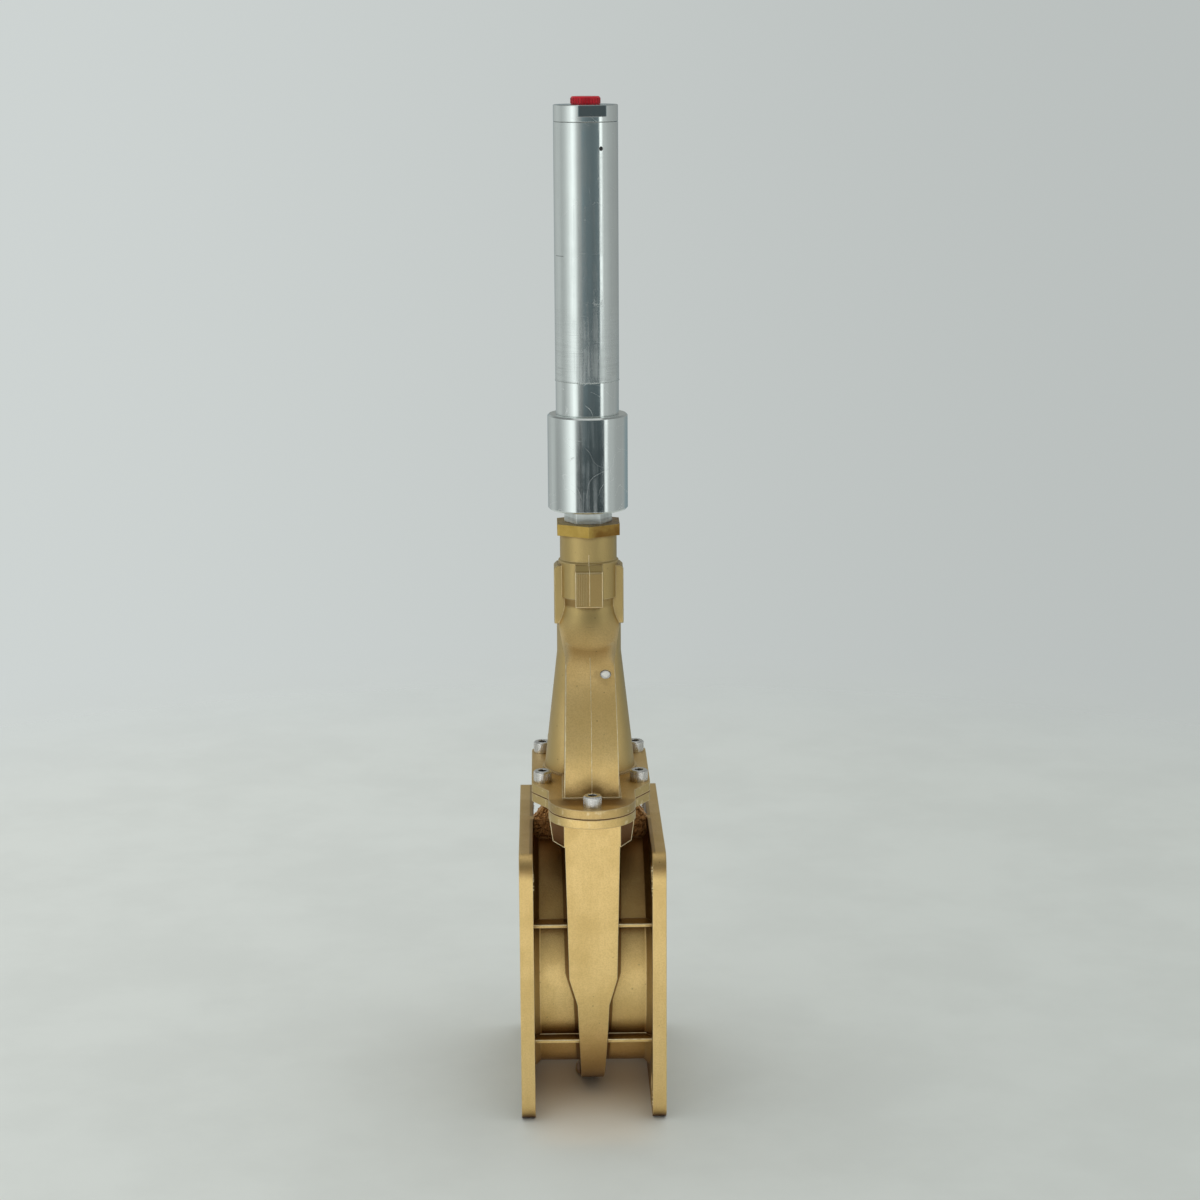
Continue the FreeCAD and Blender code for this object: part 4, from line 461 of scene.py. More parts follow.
tree, shader = new_finish("machined_brass")
surface = place_group(tree, edges_and_painted_shade, Radius=0.5 * MM, Recess_reach=10 * MM)
rings = place_group(tree, turning_rings)
# Painted shade: the right half of the nut is browned, and the recesses below.
right_half = ramp_between(tree, axes_of(tree, object_point(tree))["X"], -0.5 * MM, 6 * MM)
right_half_shade = times(tree, right_half, ramp_between(tree, rings["Cloud"], 0.0, 1.0, 0.4, 0.8))
yellow = mix_colours(tree, rings["Cloud"], BAR_BRASS, CLOUDY_BAR_BRASS)
yellow = mix_colours(tree, right_half_shade, yellow, BROWN_OXIDE_AND_SHADE)
recess_shaded_yellow = mix_colours(tree, ramp_between(tree, surface["Recess"], 0.2, 0.9), yellow, BROWN_OXIDE_AND_SHADE)
worn = mix_colours(tree, times(tree, surface["Edge"], 0.5), recess_shaded_yellow, WORN_BAR_BRASS)
set_inputs(tree, shader, {
    "Base Color": worn, "Metallic": 1.0,
    "Roughness": ramp_between(tree, rings["Streak"], 0.3, 0.7, 0.34, 0.46),
    "Normal": bumped(tree, rings["Height"], 0.03 * MM, surface["Normal"], 0.5)})

# Partly painted highlight: the flash lines are much paler than the casting.
tree, shader = new_finish("flash_and_highlight")
grain = place_group(tree, cast_grain, Patches_per_metre=260.0)
set_inputs(tree, shader, {
    "Base Color": mix_colours(tree, grain["Mottle"], RUBBED_FLASH_AND_HIGHLIGHT, PLAIN_FLASH),
    "Metallic": 1.0, "Roughness": 0.5,
    "Normal": bumped(tree, grain["Height"], 0.06 * MM, true_normal(tree), 0.6)})


# %% [markdown]
# The cylinder is zinc plated steel. It mirrors the studio in upright bands, so it
# has to stay smooth, but not perfect: the plating is cloudy, streaked along its
# length and scratched where a vice held it. The long tube is drawn, not turned,
# so it is duller than its heads, and most of all near its foot. The recesses of
# every steel part are darkened as painted shade, and the flat milled on the cap is
# darkened as a painted dark reflection: it is where the cap lies nearer to the
# axis than its round outside, so its distance from the axis finds it.

# %% Finishes: zinc plate, stainless steel, chrome and black steel
def steel_finish(name, colour, roughness, edge_radius, ring_depth, scratch_share=0.0,
                 cloudiness=0.3, dull_foot=None, tool_marks=0.0, recess_shade_share=1.0,
                 rings_per_metre=2500.0, flats_on=None):
    """Plated or bare steel. The edge radius and the ring depth are millimetres. A
    dull foot is a height in metres, the reach above it and the added roughness."""
    tree, shader = new_finish(name)
    surface = place_group(tree, edges_and_painted_shade, Radius=edge_radius * MM,
                          Seam_reach=2 * MM, Recess_reach=6 * MM)
    rings = place_group(tree, turning_rings, Rings_per_metre=rings_per_metre)
    scratched = times(tree, place_group(tree, scratches)["Scratch"], scratch_share)
    axes = axes_of(tree, object_point(tree))
    pale, dark, black = tone(colour, 0.6, 0.4), tone(colour, 0.86), tone(colour, 0.06)
    uneven = times(tree, rings["Cloud"], cloudiness)
    streaked = mix_colours(tree, uneven, mix_colours(tree, rings["Streak"], colour, dark), dark)
    marked = mix_colours(tree, scratched, streaked, pale)
    # Painted shade: recesses go towards black.
    shaded = mix_colours(tree, ramp_between(tree, surface["Recess"], 0.5, 0.9, 0.0, recess_shade_share),
                         marked, black)
    worn = mix_colours(tree, times(tree, surface["Edge"], 0.4), shaded, pale)
    cut = times(tree, ramp_between(tree, rings["Height"], 0.52, 0.66), tool_marks)
    smeared = times(tree, ramp_between(tree, rings["Streak"], 0.35, 0.62),
                    ramp_between(tree, rings["Cloud"], 0.1, 0.8, 0.4, 1.0))
    soft = ramp_between(tree, smeared, 0.0, 1.0, roughness, roughness * (1 + 2 * cloudiness))
    if dull_foot:
        foot, reach, extra = dull_foot
        near_foot = ramp_between(tree, axes["Z"], foot, foot + reach, 1.0, 0.0)
        soft = arithmetic(tree, "ADD", soft, times(tree, near_foot, extra))
        cut = times(tree, cut, near_foot)
    worn = mix_colours(tree, cut, worn, black)
    # Painted dark reflection on the milled flat of the cap.
    if flats_on:
        low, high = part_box(flats_on)
        from_axis = measure(tree, "LENGTH", vector_of(tree, X=axes["X"], Y=axes["Y"]))
        cut_away = ramp_between(tree, from_axis, high.x - 0.4 * MM, high.x - 0.15 * MM, 0.5, 0.0)
        band = times(tree, arithmetic(tree, "GREATER_THAN", axes["Z"], low.z + 0.5 * MM),
                     arithmetic(tree, "LESS_THAN", axes["Z"], high.z - 0.7 * MM))
        worn = mix_colours(tree, times(tree, cut_away, band), worn, black)
    set_inputs(tree, shader, {
        "Base Color": worn, "Metallic": 1.0,
        "Roughness": arithmetic(tree, "MULTIPLY_ADD", scratched, 0.5, soft),
        "Normal": bumped(tree, rings["Height"], ring_depth * MM, surface["Normal"], 0.4)})


ZINC = (0.75, 0.79, 0.775, 1.0)
DULL_ZINC = (0.84, 0.88, 0.86, 1.0)
WARM_ZINC = (0.86, 0.85, 0.82, 1.0)
STAINLESS = (0.80, 0.78, 0.75, 1.0)
CHROME = (0.80, 0.81, 0.82, 1.0)
BLACK_STEEL = (0.05, 0.05, 0.05, 1.0)
tube_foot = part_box("tube_socket")[1].z
steel_finish("zinc_steel", ZINC, 0.10, 0.5, 0.004, 0.75, 0.35, flats_on="cylinder_cap")
steel_finish("drawn_tube", ZINC, 0.125, 0.4, 0.004, 0.25, 0.45,
             dull_foot=(tube_foot, 0.08, 0.12), tool_marks=0.18)
steel_finish("turned_nut", DULL_ZINC, 0.42, 0.9, 0.5, 0.3, 0.3, tool_marks=0.2,
             rings_per_metre=420.0)
steel_finish("plated_plug", WARM_ZINC, 0.34, 0.9, 0.02, 0.2, 0.4, recess_shade_share=0.15)
steel_finish("stainless", STAINLESS, 0.22, 0.6, 0.006)
steel_finish("chrome", CHROME, 0.06, 0.3, 0.002)
steel_finish("black_steel", BLACK_STEEL, 0.35, 0.3, 0.01)


# %% [markdown]
# The plastic port plugs are the only strong colour. Moulded plastic is even, with
# a faint orange-peel skin and a soft gloss. The seals, rings and the gasket are
# made the same way from their own colours, dull for rubber and waxy for the rings.

# %% Finishes: plastics, rubber and gasket sheet
def moulded_finish(name, colour, roughness, peels_per_metre, gloss=0.5):
    tree, shader = new_finish(name)
    surface = place_group(tree, edges_and_painted_shade, Radius=0.4 * MM, Seam_reach=1.5 * MM,
                          Recess_reach=5 * MM)
    skin = place_group(tree, cast_grain, Grains_per_metre=peels_per_metre,
                       Patches_per_metre=90.0)
    patchy = mix_colours(tree, skin["Mottle"], colour, tone(colour, 0.72))
    # Painted shade: the seams are darkened.
    shaded = mix_colours(tree, surface["Seam"], patchy, tone(colour, 0.30))
    worn = mix_colours(tree, times(tree, surface["Edge"], 0.3), shaded, tone(colour, 0.8, 0.12))
    set_inputs(tree, shader, {
        "Base Color": worn, "Specular IOR Level": gloss,
        "Roughness": ramp_between(tree, skin["Mottle"], 0.0, 1.0, roughness, roughness + 0.08),
        "Normal": bumped(tree, skin["Height"], 0.02 * MM, surface["Normal"], 0.4)})


moulded_finish("red_plastic", (0.60, 0.004, 0.018, 1.0), 0.24, 900.0, gloss=0.3)
moulded_finish("white_plastic", (0.72, 0.71, 0.65, 1.0), 0.45, 1200.0)
moulded_finish("rubber", (0.022, 0.022, 0.024, 1.0), 0.62, 2000.0)
moulded_finish("gasket", (0.15, 0.068, 0.018, 1.0), 0.85, 2400.0, gloss=0.1)

# %% [markdown]
# The record says which slot each solid belongs to, so the finishes are handed
# out by that list and not by a second one. Only the drawn tube, the rougher lock
# nut and the matt vent plug are set apart.

# %% Dress the solids
for part in frame["record"]["subparts"]:
    for place in nodes[part["node"]].material_slots:
        place.material = finishes[part["material_slot"]]
for node, finish in (("cylinder_tube", "drawn_tube"), ("lock_nut", "turned_nut"),
                     ("vent_plug", "plated_plug")):
    nodes[node].material_slots[0].material = finishes[finish]
    print(node, "set apart as", finish)


# %% [markdown]
# The added pieces are made in two ways. Most are grown by a Geometry Nodes tree
# from a bare start of points, edges or faces. A few are plain closed shapes. Both
# end the same way: a plain mesh on the body that it rides on, with its finish.

# %% Helpers for added pieces
def new_geometry_tree(name, inputs):
    tree = bpy.data.node_groups.new(name, "GeometryNodeTree")
    tree.interface.new_socket("Geometry", in_out="INPUT", socket_type="NodeSocketGeometry")
    for socket, kind in inputs + [("Finish", "Material")]:
        tree.interface.new_socket(socket, in_out="INPUT", socket_type="NodeSocket" + kind)
    tree.interface.new_socket("Geometry", in_out="OUTPUT", socket_type="NodeSocketGeometry")
    print("geometry tree:", name, "with", ", ".join(socket for socket, kind in inputs))
    return tree, tree.nodes.new("NodeGroupInput").outputs, tree.nodes.new("NodeGroupOutput")


def end_tree(tree, given, result, geometry):
    """Every tree ends with real faces that carry the chosen finish."""
    solid = add_node(tree, "GeometryNodeRealizeInstances", {"Geometry": geometry})
    finished = add_node(tree, "GeometryNodeSetMaterial",
                        {"Geometry": solid.outputs[0], "Material": given["Finish"]})
    set_inputs(tree, result, {"Geometry": finished.outputs[0]})


def put_in_scene(name, data):
    made = bpy.data.objects.new(name, data)
    bpy.context.scene.collection.objects.link(made)
    return made


def keep_piece(piece, body):
    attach(piece, body)
    print(piece.name, "faces:", len(piece.data.polygons))


def grow(name, start, tree, body, slot, finish, **values):
    """Run a tree on points, edges and faces, and keep the result as a piece."""
    bare = bpy.data.meshes.new(name + "_start")
    bare.from_pydata(*start)
    piece = put_in_scene(name, bare)
    modifier = piece.modifiers.new("tree", "NODES")
    modifier.node_group = tree
    values["Finish"] = finishes[finish]
    for item in tree.interface.items_tree:
        if item.in_out == "INPUT" and item.name in values:
            modifier[item.identifier] = values[item.name]
    evaluated = piece.evaluated_get(bpy.context.evaluated_depsgraph_get())
    mesh = bpy.data.meshes.new_from_object(evaluated)
    mesh.name = name
    piece.modifiers.clear()
    piece.data = mesh
    keep_piece(piece, body)


def plain_piece(name, shape, body, slot):
    """Keep a bmesh as a closed piece with its normals outwards."""
    bmesh.ops.recalc_face_normals(shape, faces=shape.faces)
    mesh = bpy.data.meshes.new(name)
    shape.to_mesh(mesh)
    shape.free()
    mesh.materials.append(finishes[slot])
    keep_piece(put_in_scene(name, mesh), body)


# %% [markdown]
# A casting carries thin raised lines: where the halves of its mould met, along
# the foot of a raised panel, and along the corners of a core. They follow a path
# over the surface, so the first tree sweeps a small round profile along any path
# of joined points.

# %% Geometry Nodes tree: a thin line along a path
line_tree, given, result = new_geometry_tree("raised_line", [("Radius", "Float"), ("Sides", "Int")])
tree = line_tree
path = add_node(tree, "GeometryNodeMeshToCurve", {"Mesh": given["Geometry"]})
profile = add_node(tree, "GeometryNodeCurvePrimitiveCircle",
                   {"Resolution": given["Sides"], "Radius": given["Radius"]})
swept = add_node(tree, "GeometryNodeCurveToMesh",
                 {"Curve": path.outputs[0], "Profile Curve": profile.outputs[0],
                  "Fill Caps": True})
end_tree(tree, given, result, swept.outputs[0])

LINE_SIDES = 8
RIGHT_SIDE, LEFT_SIDE = ((1, 1), (1, -1)), ((-1, 1), (-1, -1))
FOUR_WAYS = ((1, 1), (-1, 1), (1, -1), (-1, -1))
MIDDLE_FRONT_AND_BACK = RIGHT_SIDE
FRONT_ONLY = ((1, -1),)


def raised_lines(name, paths, radius, finish, ways):
    """Thin lines through stations in millimetres on the castings, repeated left
    and right or front and back by the signs of X and Y."""
    points, edges = [], []
    for stations in paths:
        for sx, sy in ways:
            first = len(points)
            points += [Vector((sx * x, sy * y, z)) * MM for x, y, z in stations]
            edges += [(index, index + 1) for index in range(first, len(points) - 1)]
    grow(name, (points, edges, []), line_tree, "valve", "cast_brass", finish,
         Radius=radius * MM, Sides=LINE_SIDES)


def up_the_dome(radius, last, half_width=0.0, draft=0.0):
    """Stations up the end of the dome, one every four degrees up to the last. The
    half width shrinks with the height, by the draft."""
    angles = [math.radians(angle) for angle in range(0, last + 1, 4)]
    return [(half_width - draft * radius * math.sin(angle), radius * math.cos(angle),
             DOME_CENTRE + radius * math.sin(angle)) for angle in angles]


# %% [markdown]
# The parting line runs up the middle of the dome, over the pad of the boss and
# onto the neck. It is a little ridge of metal that seeped between the halves of
# the mould.

# %% Parting line
raised_lines("parting_lines", [[(0.0, DOME_RADIUS, DECK + 1.2)] + up_the_dome(DOME_RADIUS, 60),
                               [(0.4, 25.0, 366.0), (0.4, 25.0, 391.0)],
                               [(0.4, 25.1, 390.4), (0.0, 22.1, 395.6), (0.0, 20.75, 397.3),
                                (0.0, 20.75, 403.0)]],
             0.26, "flash_and_highlight", MIDDLE_FRONT_AND_BACK)

# %% [markdown]
# Round the mouth of the housing, the core left a sharp fin that was only rubbed
# over, so it shines. The same goes for the front edges of the ribs and for the
# bead at the foot of the dome. These lines stand on the edges of the solids.

# %% Bright fins
fin = [(30.4, 82.0, JOINT_UNDERSIDE - 0.3), (27.8, 82.0, MOUTH_FOOT), (20.0, 98.0, MOUTH_FOOT)]
raised_lines("mouth_fins", [fin], 0.42, "flash_and_highlight", FOUR_WAYS)

RIB_REACH = FLANGE_INSIDE - 0.1
low_root = math.sqrt(PIPE_RADIUS ** 2 - FLANGE_INSIDE ** 2)
ribs = [[(RIB_REACH, y, z), (housing_side, y, z)]
        for y, z, housing_side in ((PIPE_RADIUS, 144.7, 18.8), (PIPE_RADIUS, 57.2, 9.6),
                                   (low_root, 57.7, 9.6))]
raised_lines("rib_edges", ribs, 0.55, "flash_and_highlight", FOUR_WAYS)

FOOT_SIDE, FOOT_FRONT = 20.7, 90.2
bead = [(FOOT_SIDE, 60.0, DECK + 1.1), (FOOT_SIDE, FOOT_FRONT, DECK + 1.1),
        (0.0, FOOT_FRONT, DECK + 1.1)]
raised_lines("dome_foot_line", [bead], 0.34, "flash_and_highlight", FOUR_WAYS)

PANEL_REACH = DOME_RADIUS - 0.1
panel_edge = [(19.3, PANEL_REACH, DECK + 1.2)] + up_the_dome(PANEL_REACH, 56, 19.1, 0.024)
raised_lines("panel_edges_left", [panel_edge], 0.42, "flash_and_highlight", LEFT_SIDE)
raised_lines("panel_edges_right", [panel_edge], 0.25, "flash_and_highlight", RIGHT_SIDE)

# %% [markdown]
# The end of the tube is turned to a bright narrow edge over its socket. It is a
# ring, so the path closes on itself.

# %% Bright edge of the tube
STEPS = 96
TUBE_RADIUS, TUBE_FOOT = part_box("cylinder_tube")[1].x / MM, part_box("tube_socket")[1].z / MM


def full_circle(radius, height):
    """Points round the stem axis, evenly spaced."""
    return [Vector((radius * math.cos(math.tau * step / STEPS),
                    radius * math.sin(math.tau * step / STEPS), height))
            for step in range(STEPS)]


circle = [point * MM for point in full_circle(TUBE_RADIUS, TUBE_FOOT + 0.2)]
loop = [(step, (step + 1) % STEPS) for step in range(STEPS)]
grow("tube_edge_ring", (circle, loop, []), line_tree, "valve", "zinc_steel", "zinc_steel",
     Radius=0.3 * MM, Sides=LINE_SIDES)

# %% [markdown]
# Each pad of the boss is framed by a low rim along its sides and its lower edge.
# The file that cleaned one half of the front pad left upright strokes.

# %% Pad rims
FRONT_PAD_FOOT, FRONT_PAD_TOP = 365.2, 390.2
SIDE_PAD_FOOT, SIDE_PAD_TOP = 350.7, 391.0
pad_rim = [(PAD_SIDE, PAD_FACE, FRONT_PAD_TOP + 1.0), (PAD_SIDE, PAD_FACE, FRONT_PAD_FOOT),
           (0.0, PAD_FACE, FRONT_PAD_FOOT)]
raised_lines("front_pad_rims", [pad_rim], 0.33, "flash_and_highlight", FOUR_WAYS)
stripes = [[(x, PAD_FACE + 0.05, FRONT_PAD_TOP), (x, PAD_FACE + 0.05, FRONT_PAD_FOOT + 1.2)]
           for x in (-8.2, -6.9, -5.6, -4.3, -3.0, -1.7)]
raised_lines("pad_stripes", stripes, 0.2, "cast_brass", FRONT_ONLY)
side_rim = [(PAD_FACE, PAD_SIDE, SIDE_PAD_TOP), (PAD_FACE, PAD_SIDE, SIDE_PAD_FOOT),
            (PAD_FACE, 0.0, SIDE_PAD_FOOT)]
raised_lines("side_pad_rims", [side_rim], 0.4, "cast_brass", FOUR_WAYS)

# %% [markdown]
# The front pad and its twin behind don't end in a ledge but lean back into the
# boss. A bar of four sides across each pad's top closes the step.

# %% Sloping pad tops
SLOPE_TOP = 395.7
SLOPE_SECTION = [(PAD_FACE + 0.15, FRONT_PAD_TOP), (22.0, SLOPE_TOP), (19.0, SLOPE_TOP),
                 (19.0, FRONT_PAD_TOP)]
slopes = bmesh.new()
for sy in (-1, 1):
    left, right = [[slopes.verts.new(Vector((x, sy * y, z)) * MM) for y, z in SLOPE_SECTION]
                   for x in (-PAD_SIDE - 0.3, PAD_SIDE + 0.3)]
    slopes.faces.new(left)
    slopes.faces.new(right)
    for step in range(4):
        after = (step + 1) % 4
        slopes.faces.new((left[step], left[after], right[after], right[step]))
plain_piece("pad_slopes", slopes, "valve", "cast_brass")


# %% [markdown]
# The flash on the rough web isn't a line but a crust of small lumps. The tree
# scatters points over small faces, and sets a squashed ball of random size on
# each. The seed is fixed. Here the faces lie along the slanted tops of the webs.

# %% Crust on the rough webs
crust_tree, given, result = new_geometry_tree(
    "crust", [("Spacing", "Float"), ("Size", "Float"), ("Seed", "Int")])
tree = crust_tree
spots = add_node(tree, "GeometryNodeDistributePointsOnFaces",
                 {"Mesh": given["Geometry"], "Distance Min": given["Spacing"],
                  "Density Max": 2.0e6, "Seed": given["Seed"]}, distribute_method="POISSON")
ball = add_node(tree, "GeometryNodeMeshIcoSphere", {"Radius": given["Size"], "Subdivisions": 2})
squash = add_node(tree, "FunctionNodeRandomValue",
                  {0: (0.5, 0.5, 0.4), 1: (1.5, 1.1, 1.2), "Seed": given["Seed"]},
                  data_type="FLOAT_VECTOR")
crusted = add_node(tree, "GeometryNodeInstanceOnPoints",
                   {"Points": spots.outputs[0], "Instance": ball.outputs[0],
                    "Scale": squash.outputs[0]})
end_tree(tree, given, result, crusted.outputs[0])


def separate_faces(quads):
    """Start for a tree: faces of four corners, each given as two opposite sides
    that run the same way."""
    points = [Vector(corner) * MM for quad in quads for corner in quad]
    faces = [(first, first + 1, first + 3, first + 2) for first in range(0, len(points), 4)]
    return points, [], faces


web_tops = [[(sx * x, y, z) for y in (-3.0, 3.0) for x, z in ((42.0, 200.4), (28.4, 220.6))]
            for sx in (-1, 1)]
grow("web_crust", separate_faces(web_tops), crust_tree, "valve", "cast_brass", "cast_brass",
     Spacing=1.5 * MM, Size=0.85 * MM, Seed=7)

# %% [markdown]
# A few bright specks stand on the inner edges of the flanges, where the flash was
# broken off. The same tree scatters them over narrow strips, with smaller balls.

# %% Specks on the flange edges
INNER_EDGE, FLANGE_FRONT, STRIP_WIDTH = FLANGE_INSIDE - 0.1, 99.9, 1.2
strips = [[(sx * INNER_EDGE, sy * (FLANGE_FRONT - inset), z)
           for z in (low, high) for inset in (0.0, STRIP_WIDTH)]
          for sx, low, high in ((-1, 176.0, 190.0), (1, 170.0, 192.0), (1, 12.0, 24.0))
          for sy in (-1, 1)]
grow("edge_specks", separate_faces(strips), crust_tree, "valve", "cast_brass", "flash_and_highlight",
     Spacing=1.7 * MM, Size=0.6 * MM, Seed=3)

# %% [markdown]
# A short dark scratch runs round the left side of the tube, a third of the way
# down. It is one more thin line, this time on the steel.

# %% Scratch on the tube
SCRATCH_HEIGHT = 617.4
scratch = [Vector((-TUBE_RADIUS * math.sin(turn), -TUBE_RADIUS * math.cos(turn),
                   SCRATCH_HEIGHT)) * MM
           for turn in (math.radians(angle) for angle in range(46, 71, 4))]
grow("tube_scratch", (scratch, [(step, step + 1) for step in range(len(scratch) - 1)], []),
     line_tree, "valve", "black_steel", "black_steel", Radius=0.16 * MM, Sides=LINE_SIDES)

# %% [markdown]
# A screw head is knurled and a plastic plug is ribbed for the fingers. Both are a
# ring of equal ridges, so one tree makes them: a circle gives the places, and a
# small block is set on each, turned to face outwards. The tree repeats the whole
# ring at every point that it is given.

# %% Geometry Nodes tree: a ring of ridges
ring_tree, given, result = new_geometry_tree(
    "ring_of_ridges", [("Count", "Int"), ("Radius", "Float"), ("Ridge", "Vector"),
                       ("Tilt", "Vector")])
tree = ring_tree
places = add_node(tree, "GeometryNodeMeshCircle",
                  {"Vertices": given["Count"], "Radius": given["Radius"]})
outwards = add_node(tree, "FunctionNodeAlignRotationToVector",
                    {"Vector": add_node(tree, "GeometryNodeInputPosition").outputs[0]}, axis="X")
block = add_node(tree, "GeometryNodeMeshCube", {"Size": given["Ridge"]})
one_ring = add_node(tree, "GeometryNodeInstanceOnPoints",
                    {"Points": places.outputs[0], "Instance": block.outputs[0],
                     "Rotation": outwards.outputs[0]})
every_ring = add_node(tree, "GeometryNodeInstanceOnPoints",
                      {"Points": given["Geometry"], "Instance": one_ring.outputs[0],
                       "Rotation": given["Tilt"]})
end_tree(tree, given, result, every_ring.outputs[0])

# %% [markdown]
# The six screw heads stand on the deck of the lid, at the outer ends of their
# boxes. All six get their knurls in one run of the tree.

# %% Knurls of the screws
HEAD_RADIUS, HEAD_HEIGHT = 6.5 * MM, 8 * MM
HEAD_MIDDLE = DECK * MM + HEAD_HEIGHT / 2
KNURL = (0.12 * MM, 0.5 * MM, 5.6 * MM)
end_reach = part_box("end_screws")[1].y - HEAD_RADIUS
side_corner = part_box("side_screws")[1]
centres = [Vector((0.0, sy * end_reach, HEAD_MIDDLE)) for sy in (-1, 1)]
centres += [Vector((sx * (side_corner.x - HEAD_RADIUS), sy * (side_corner.y - HEAD_RADIUS),
                    HEAD_MIDDLE)) for sx in (-1, 1) for sy in (-1, 1)]
grow("screw_knurls", (centres, [], []), ring_tree, "valve", "stainless", "stainless",
     Count=40, Radius=HEAD_RADIUS, Ridge=KNURL, Tilt=(0.0, 0.0, 0.0))

# %% [markdown]
# Each plastic plug can be pulled off, so its ribs ride with it and not with the
# valve. The rear plug lies on its side, so its ring is tilted by a quarter turn.

# %% Ribs of the plugs
PLUG_RADIUS, PLUG_HEAD = 10.45 * MM, 5.6 * MM
PLUG_RIB = (0.5 * MM, 0.7 * MM, 3.6 * MM)
top_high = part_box("top_port_plug")[1]
rear_low, rear_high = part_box("side_port_plug")
top_centre = (0.0, 0.0, top_high.z - 0.55 * PLUG_HEAD)
rear_centre = (0.0, rear_high.y - 0.55 * PLUG_HEAD, (rear_low.z + rear_high.z) / 2)
for name, body, centre, tilt in (("top_plug_ribs", "top_plug", top_centre, 0.0),
                                 ("side_plug_ribs", "side_plug", rear_centre, math.pi / 2)):
    grow(name, ([Vector(centre)], [], []), ring_tree, body, "red_plastic", "red_plastic",
         Count=30, Radius=PLUG_RADIUS, Ridge=PLUG_RIB, Tilt=(tilt, 0.0, 0.0))


# %% [markdown]
# A dab of white over the vent plug hides its socket and stands as a painted
# highlight: a ball pressed flat along the direction in which the dome's face looks
# there.

# %% Painted highlight on the vent plug
DAB_WIDTH, DAB_HEIGHT, DAB_DEPTH, DAB_LIFT = 3.3 * MM, 2.9 * MM, 1.1 * MM, 2.6 * MM
vent_low, vent_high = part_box("vent_plug")
vent = (vent_low + vent_high) / 2
outwards = Vector((0.0, vent.y, vent.z - DOME_CENTRE * MM)).normalized()
aside = Vector((1.0, 0.0, 0.0))
highlight_dab = bmesh.new()
bmesh.ops.create_icosphere(highlight_dab, subdivisions=4, radius=1.0)
for corner in highlight_dab.verts:
    lump = 1 + 0.12 * math.sin(3 * corner.co.x + 1) + 0.1 * math.cos(4 * corner.co.y)
    corner.co = (vent + outwards * (DAB_LIFT + DAB_DEPTH * corner.co.z)
                 + aside * DAB_WIDTH * lump * corner.co.x
                 + outwards.cross(aside) * DAB_HEIGHT * lump * corner.co.y)
plain_piece("vent_highlight_dab", highlight_dab, "valve", "white_plastic")


# %% [markdown]
# The scene is a pale floor that fades into a pale surround, so no horizon shows
# from any side. The light is that of a room: a bright window to the left, a
# narrow one to the right and a dark gap between them, where the camera stands.
# Polished steel needs that gap: without it the cylinder would look like white
# paint. The lists below give the room's brightness by bearing in degrees from
# the camera's side, one for the floor near by and one for what lies further off,
# from 8.1 degrees below the horizon. The wall above the camera is never darker
# than a plain grey, so that the upper half of the dome keeps its gold.

# %% Surround
PALE_LEFT = (0.625, 0.665, 0.655, 1.0)
PALE_RIGHT = (0.490, 0.522, 0.512, 1.0)
OVERHEAD = (0.27, 0.285, 0.28, 1.0)
FRONT_WALL = (0.33, 0.345, 0.33, 1.0)
PLAIN_LIGHT = (0.84, 0.86, 0.85, 1.0)
LIGHT_TINT, DARK_TINT, DARK_LEVEL = (0.95, 1.0, 0.985), (0.80, 1.02, 1.09), 0.35
NEAR_ROOM = [(-180, 0.30), (-150, 0.46), (-122, 0.60), (-112, 0.56), (-102, 0.40),
             (-92, 0.40), (-85, 0.45), (-77, 0.56), (-70, 0.68), (-63, 0.86), (-57, 1.02),
             (-50, 1.22), (-44, 1.26), (-38, 1.15), (-36, 0.85), (-33, 0.045), (0, 0.045),
             (47, 0.045), (50, 1.25), (55, 1.2), (58, 0.72), (62, 0.54), (77, 0.52), (85, 0.44),
             (111, 0.41), (122, 0.44), (140, 0.32), (180, 0.25)]
FAR_ROOM = [(-180, 0.30), (-150, 0.50), (-120, 0.62), (-96, 0.54), (-86, 0.60), (-76, 0.74),
            (-67, 0.94), (-59, 1.15), (-50, 1.38), (-43, 1.26), (-35, 0.84), (-28, 0.54),
            (-20, 0.39), (-13, 0.28), (1, 0.20), (23, 0.165), (38, 0.19), (47, 0.22), (50, 1.45),
            (58, 1.4), (62, 0.62), (80, 0.54), (90, 0.47), (112, 0.42), (146, 0.36),
            (180, 0.25)]

world = bpy.data.worlds.new("studio")
bpy.context.scene.world = world
world.use_nodes = True
tree = world.node_tree
direction = axes_of(tree, add_node(tree, "ShaderNodeTexCoord").outputs["Generated"])
away = times(tree, direction["Y"], -1.0)
bearing = arithmetic(tree, "ARCTAN2", direction["X"], away)
turn = arithmetic(tree, "ADD", arithmetic(tree, "DIVIDE", bearing, math.tau), 0.5)


def room_ring(levels):
    """Brightness of the room by bearing, as a colour ramp once round."""
    ring = add_node(tree, "ShaderNodeValToRGB", {0: turn})
    stops = ring.color_ramp.elements
    while len(stops) < len(levels):
        stops.new(0.5)
    for stop, (degrees, level) in zip(stops, levels):
        stop.position = degrees / 360 + 0.5
        tint = LIGHT_TINT if level > DARK_LEVEL else DARK_TINT
        stop.color = [share * level for share in tint] + [1.0]
    return ring.outputs["Color"]


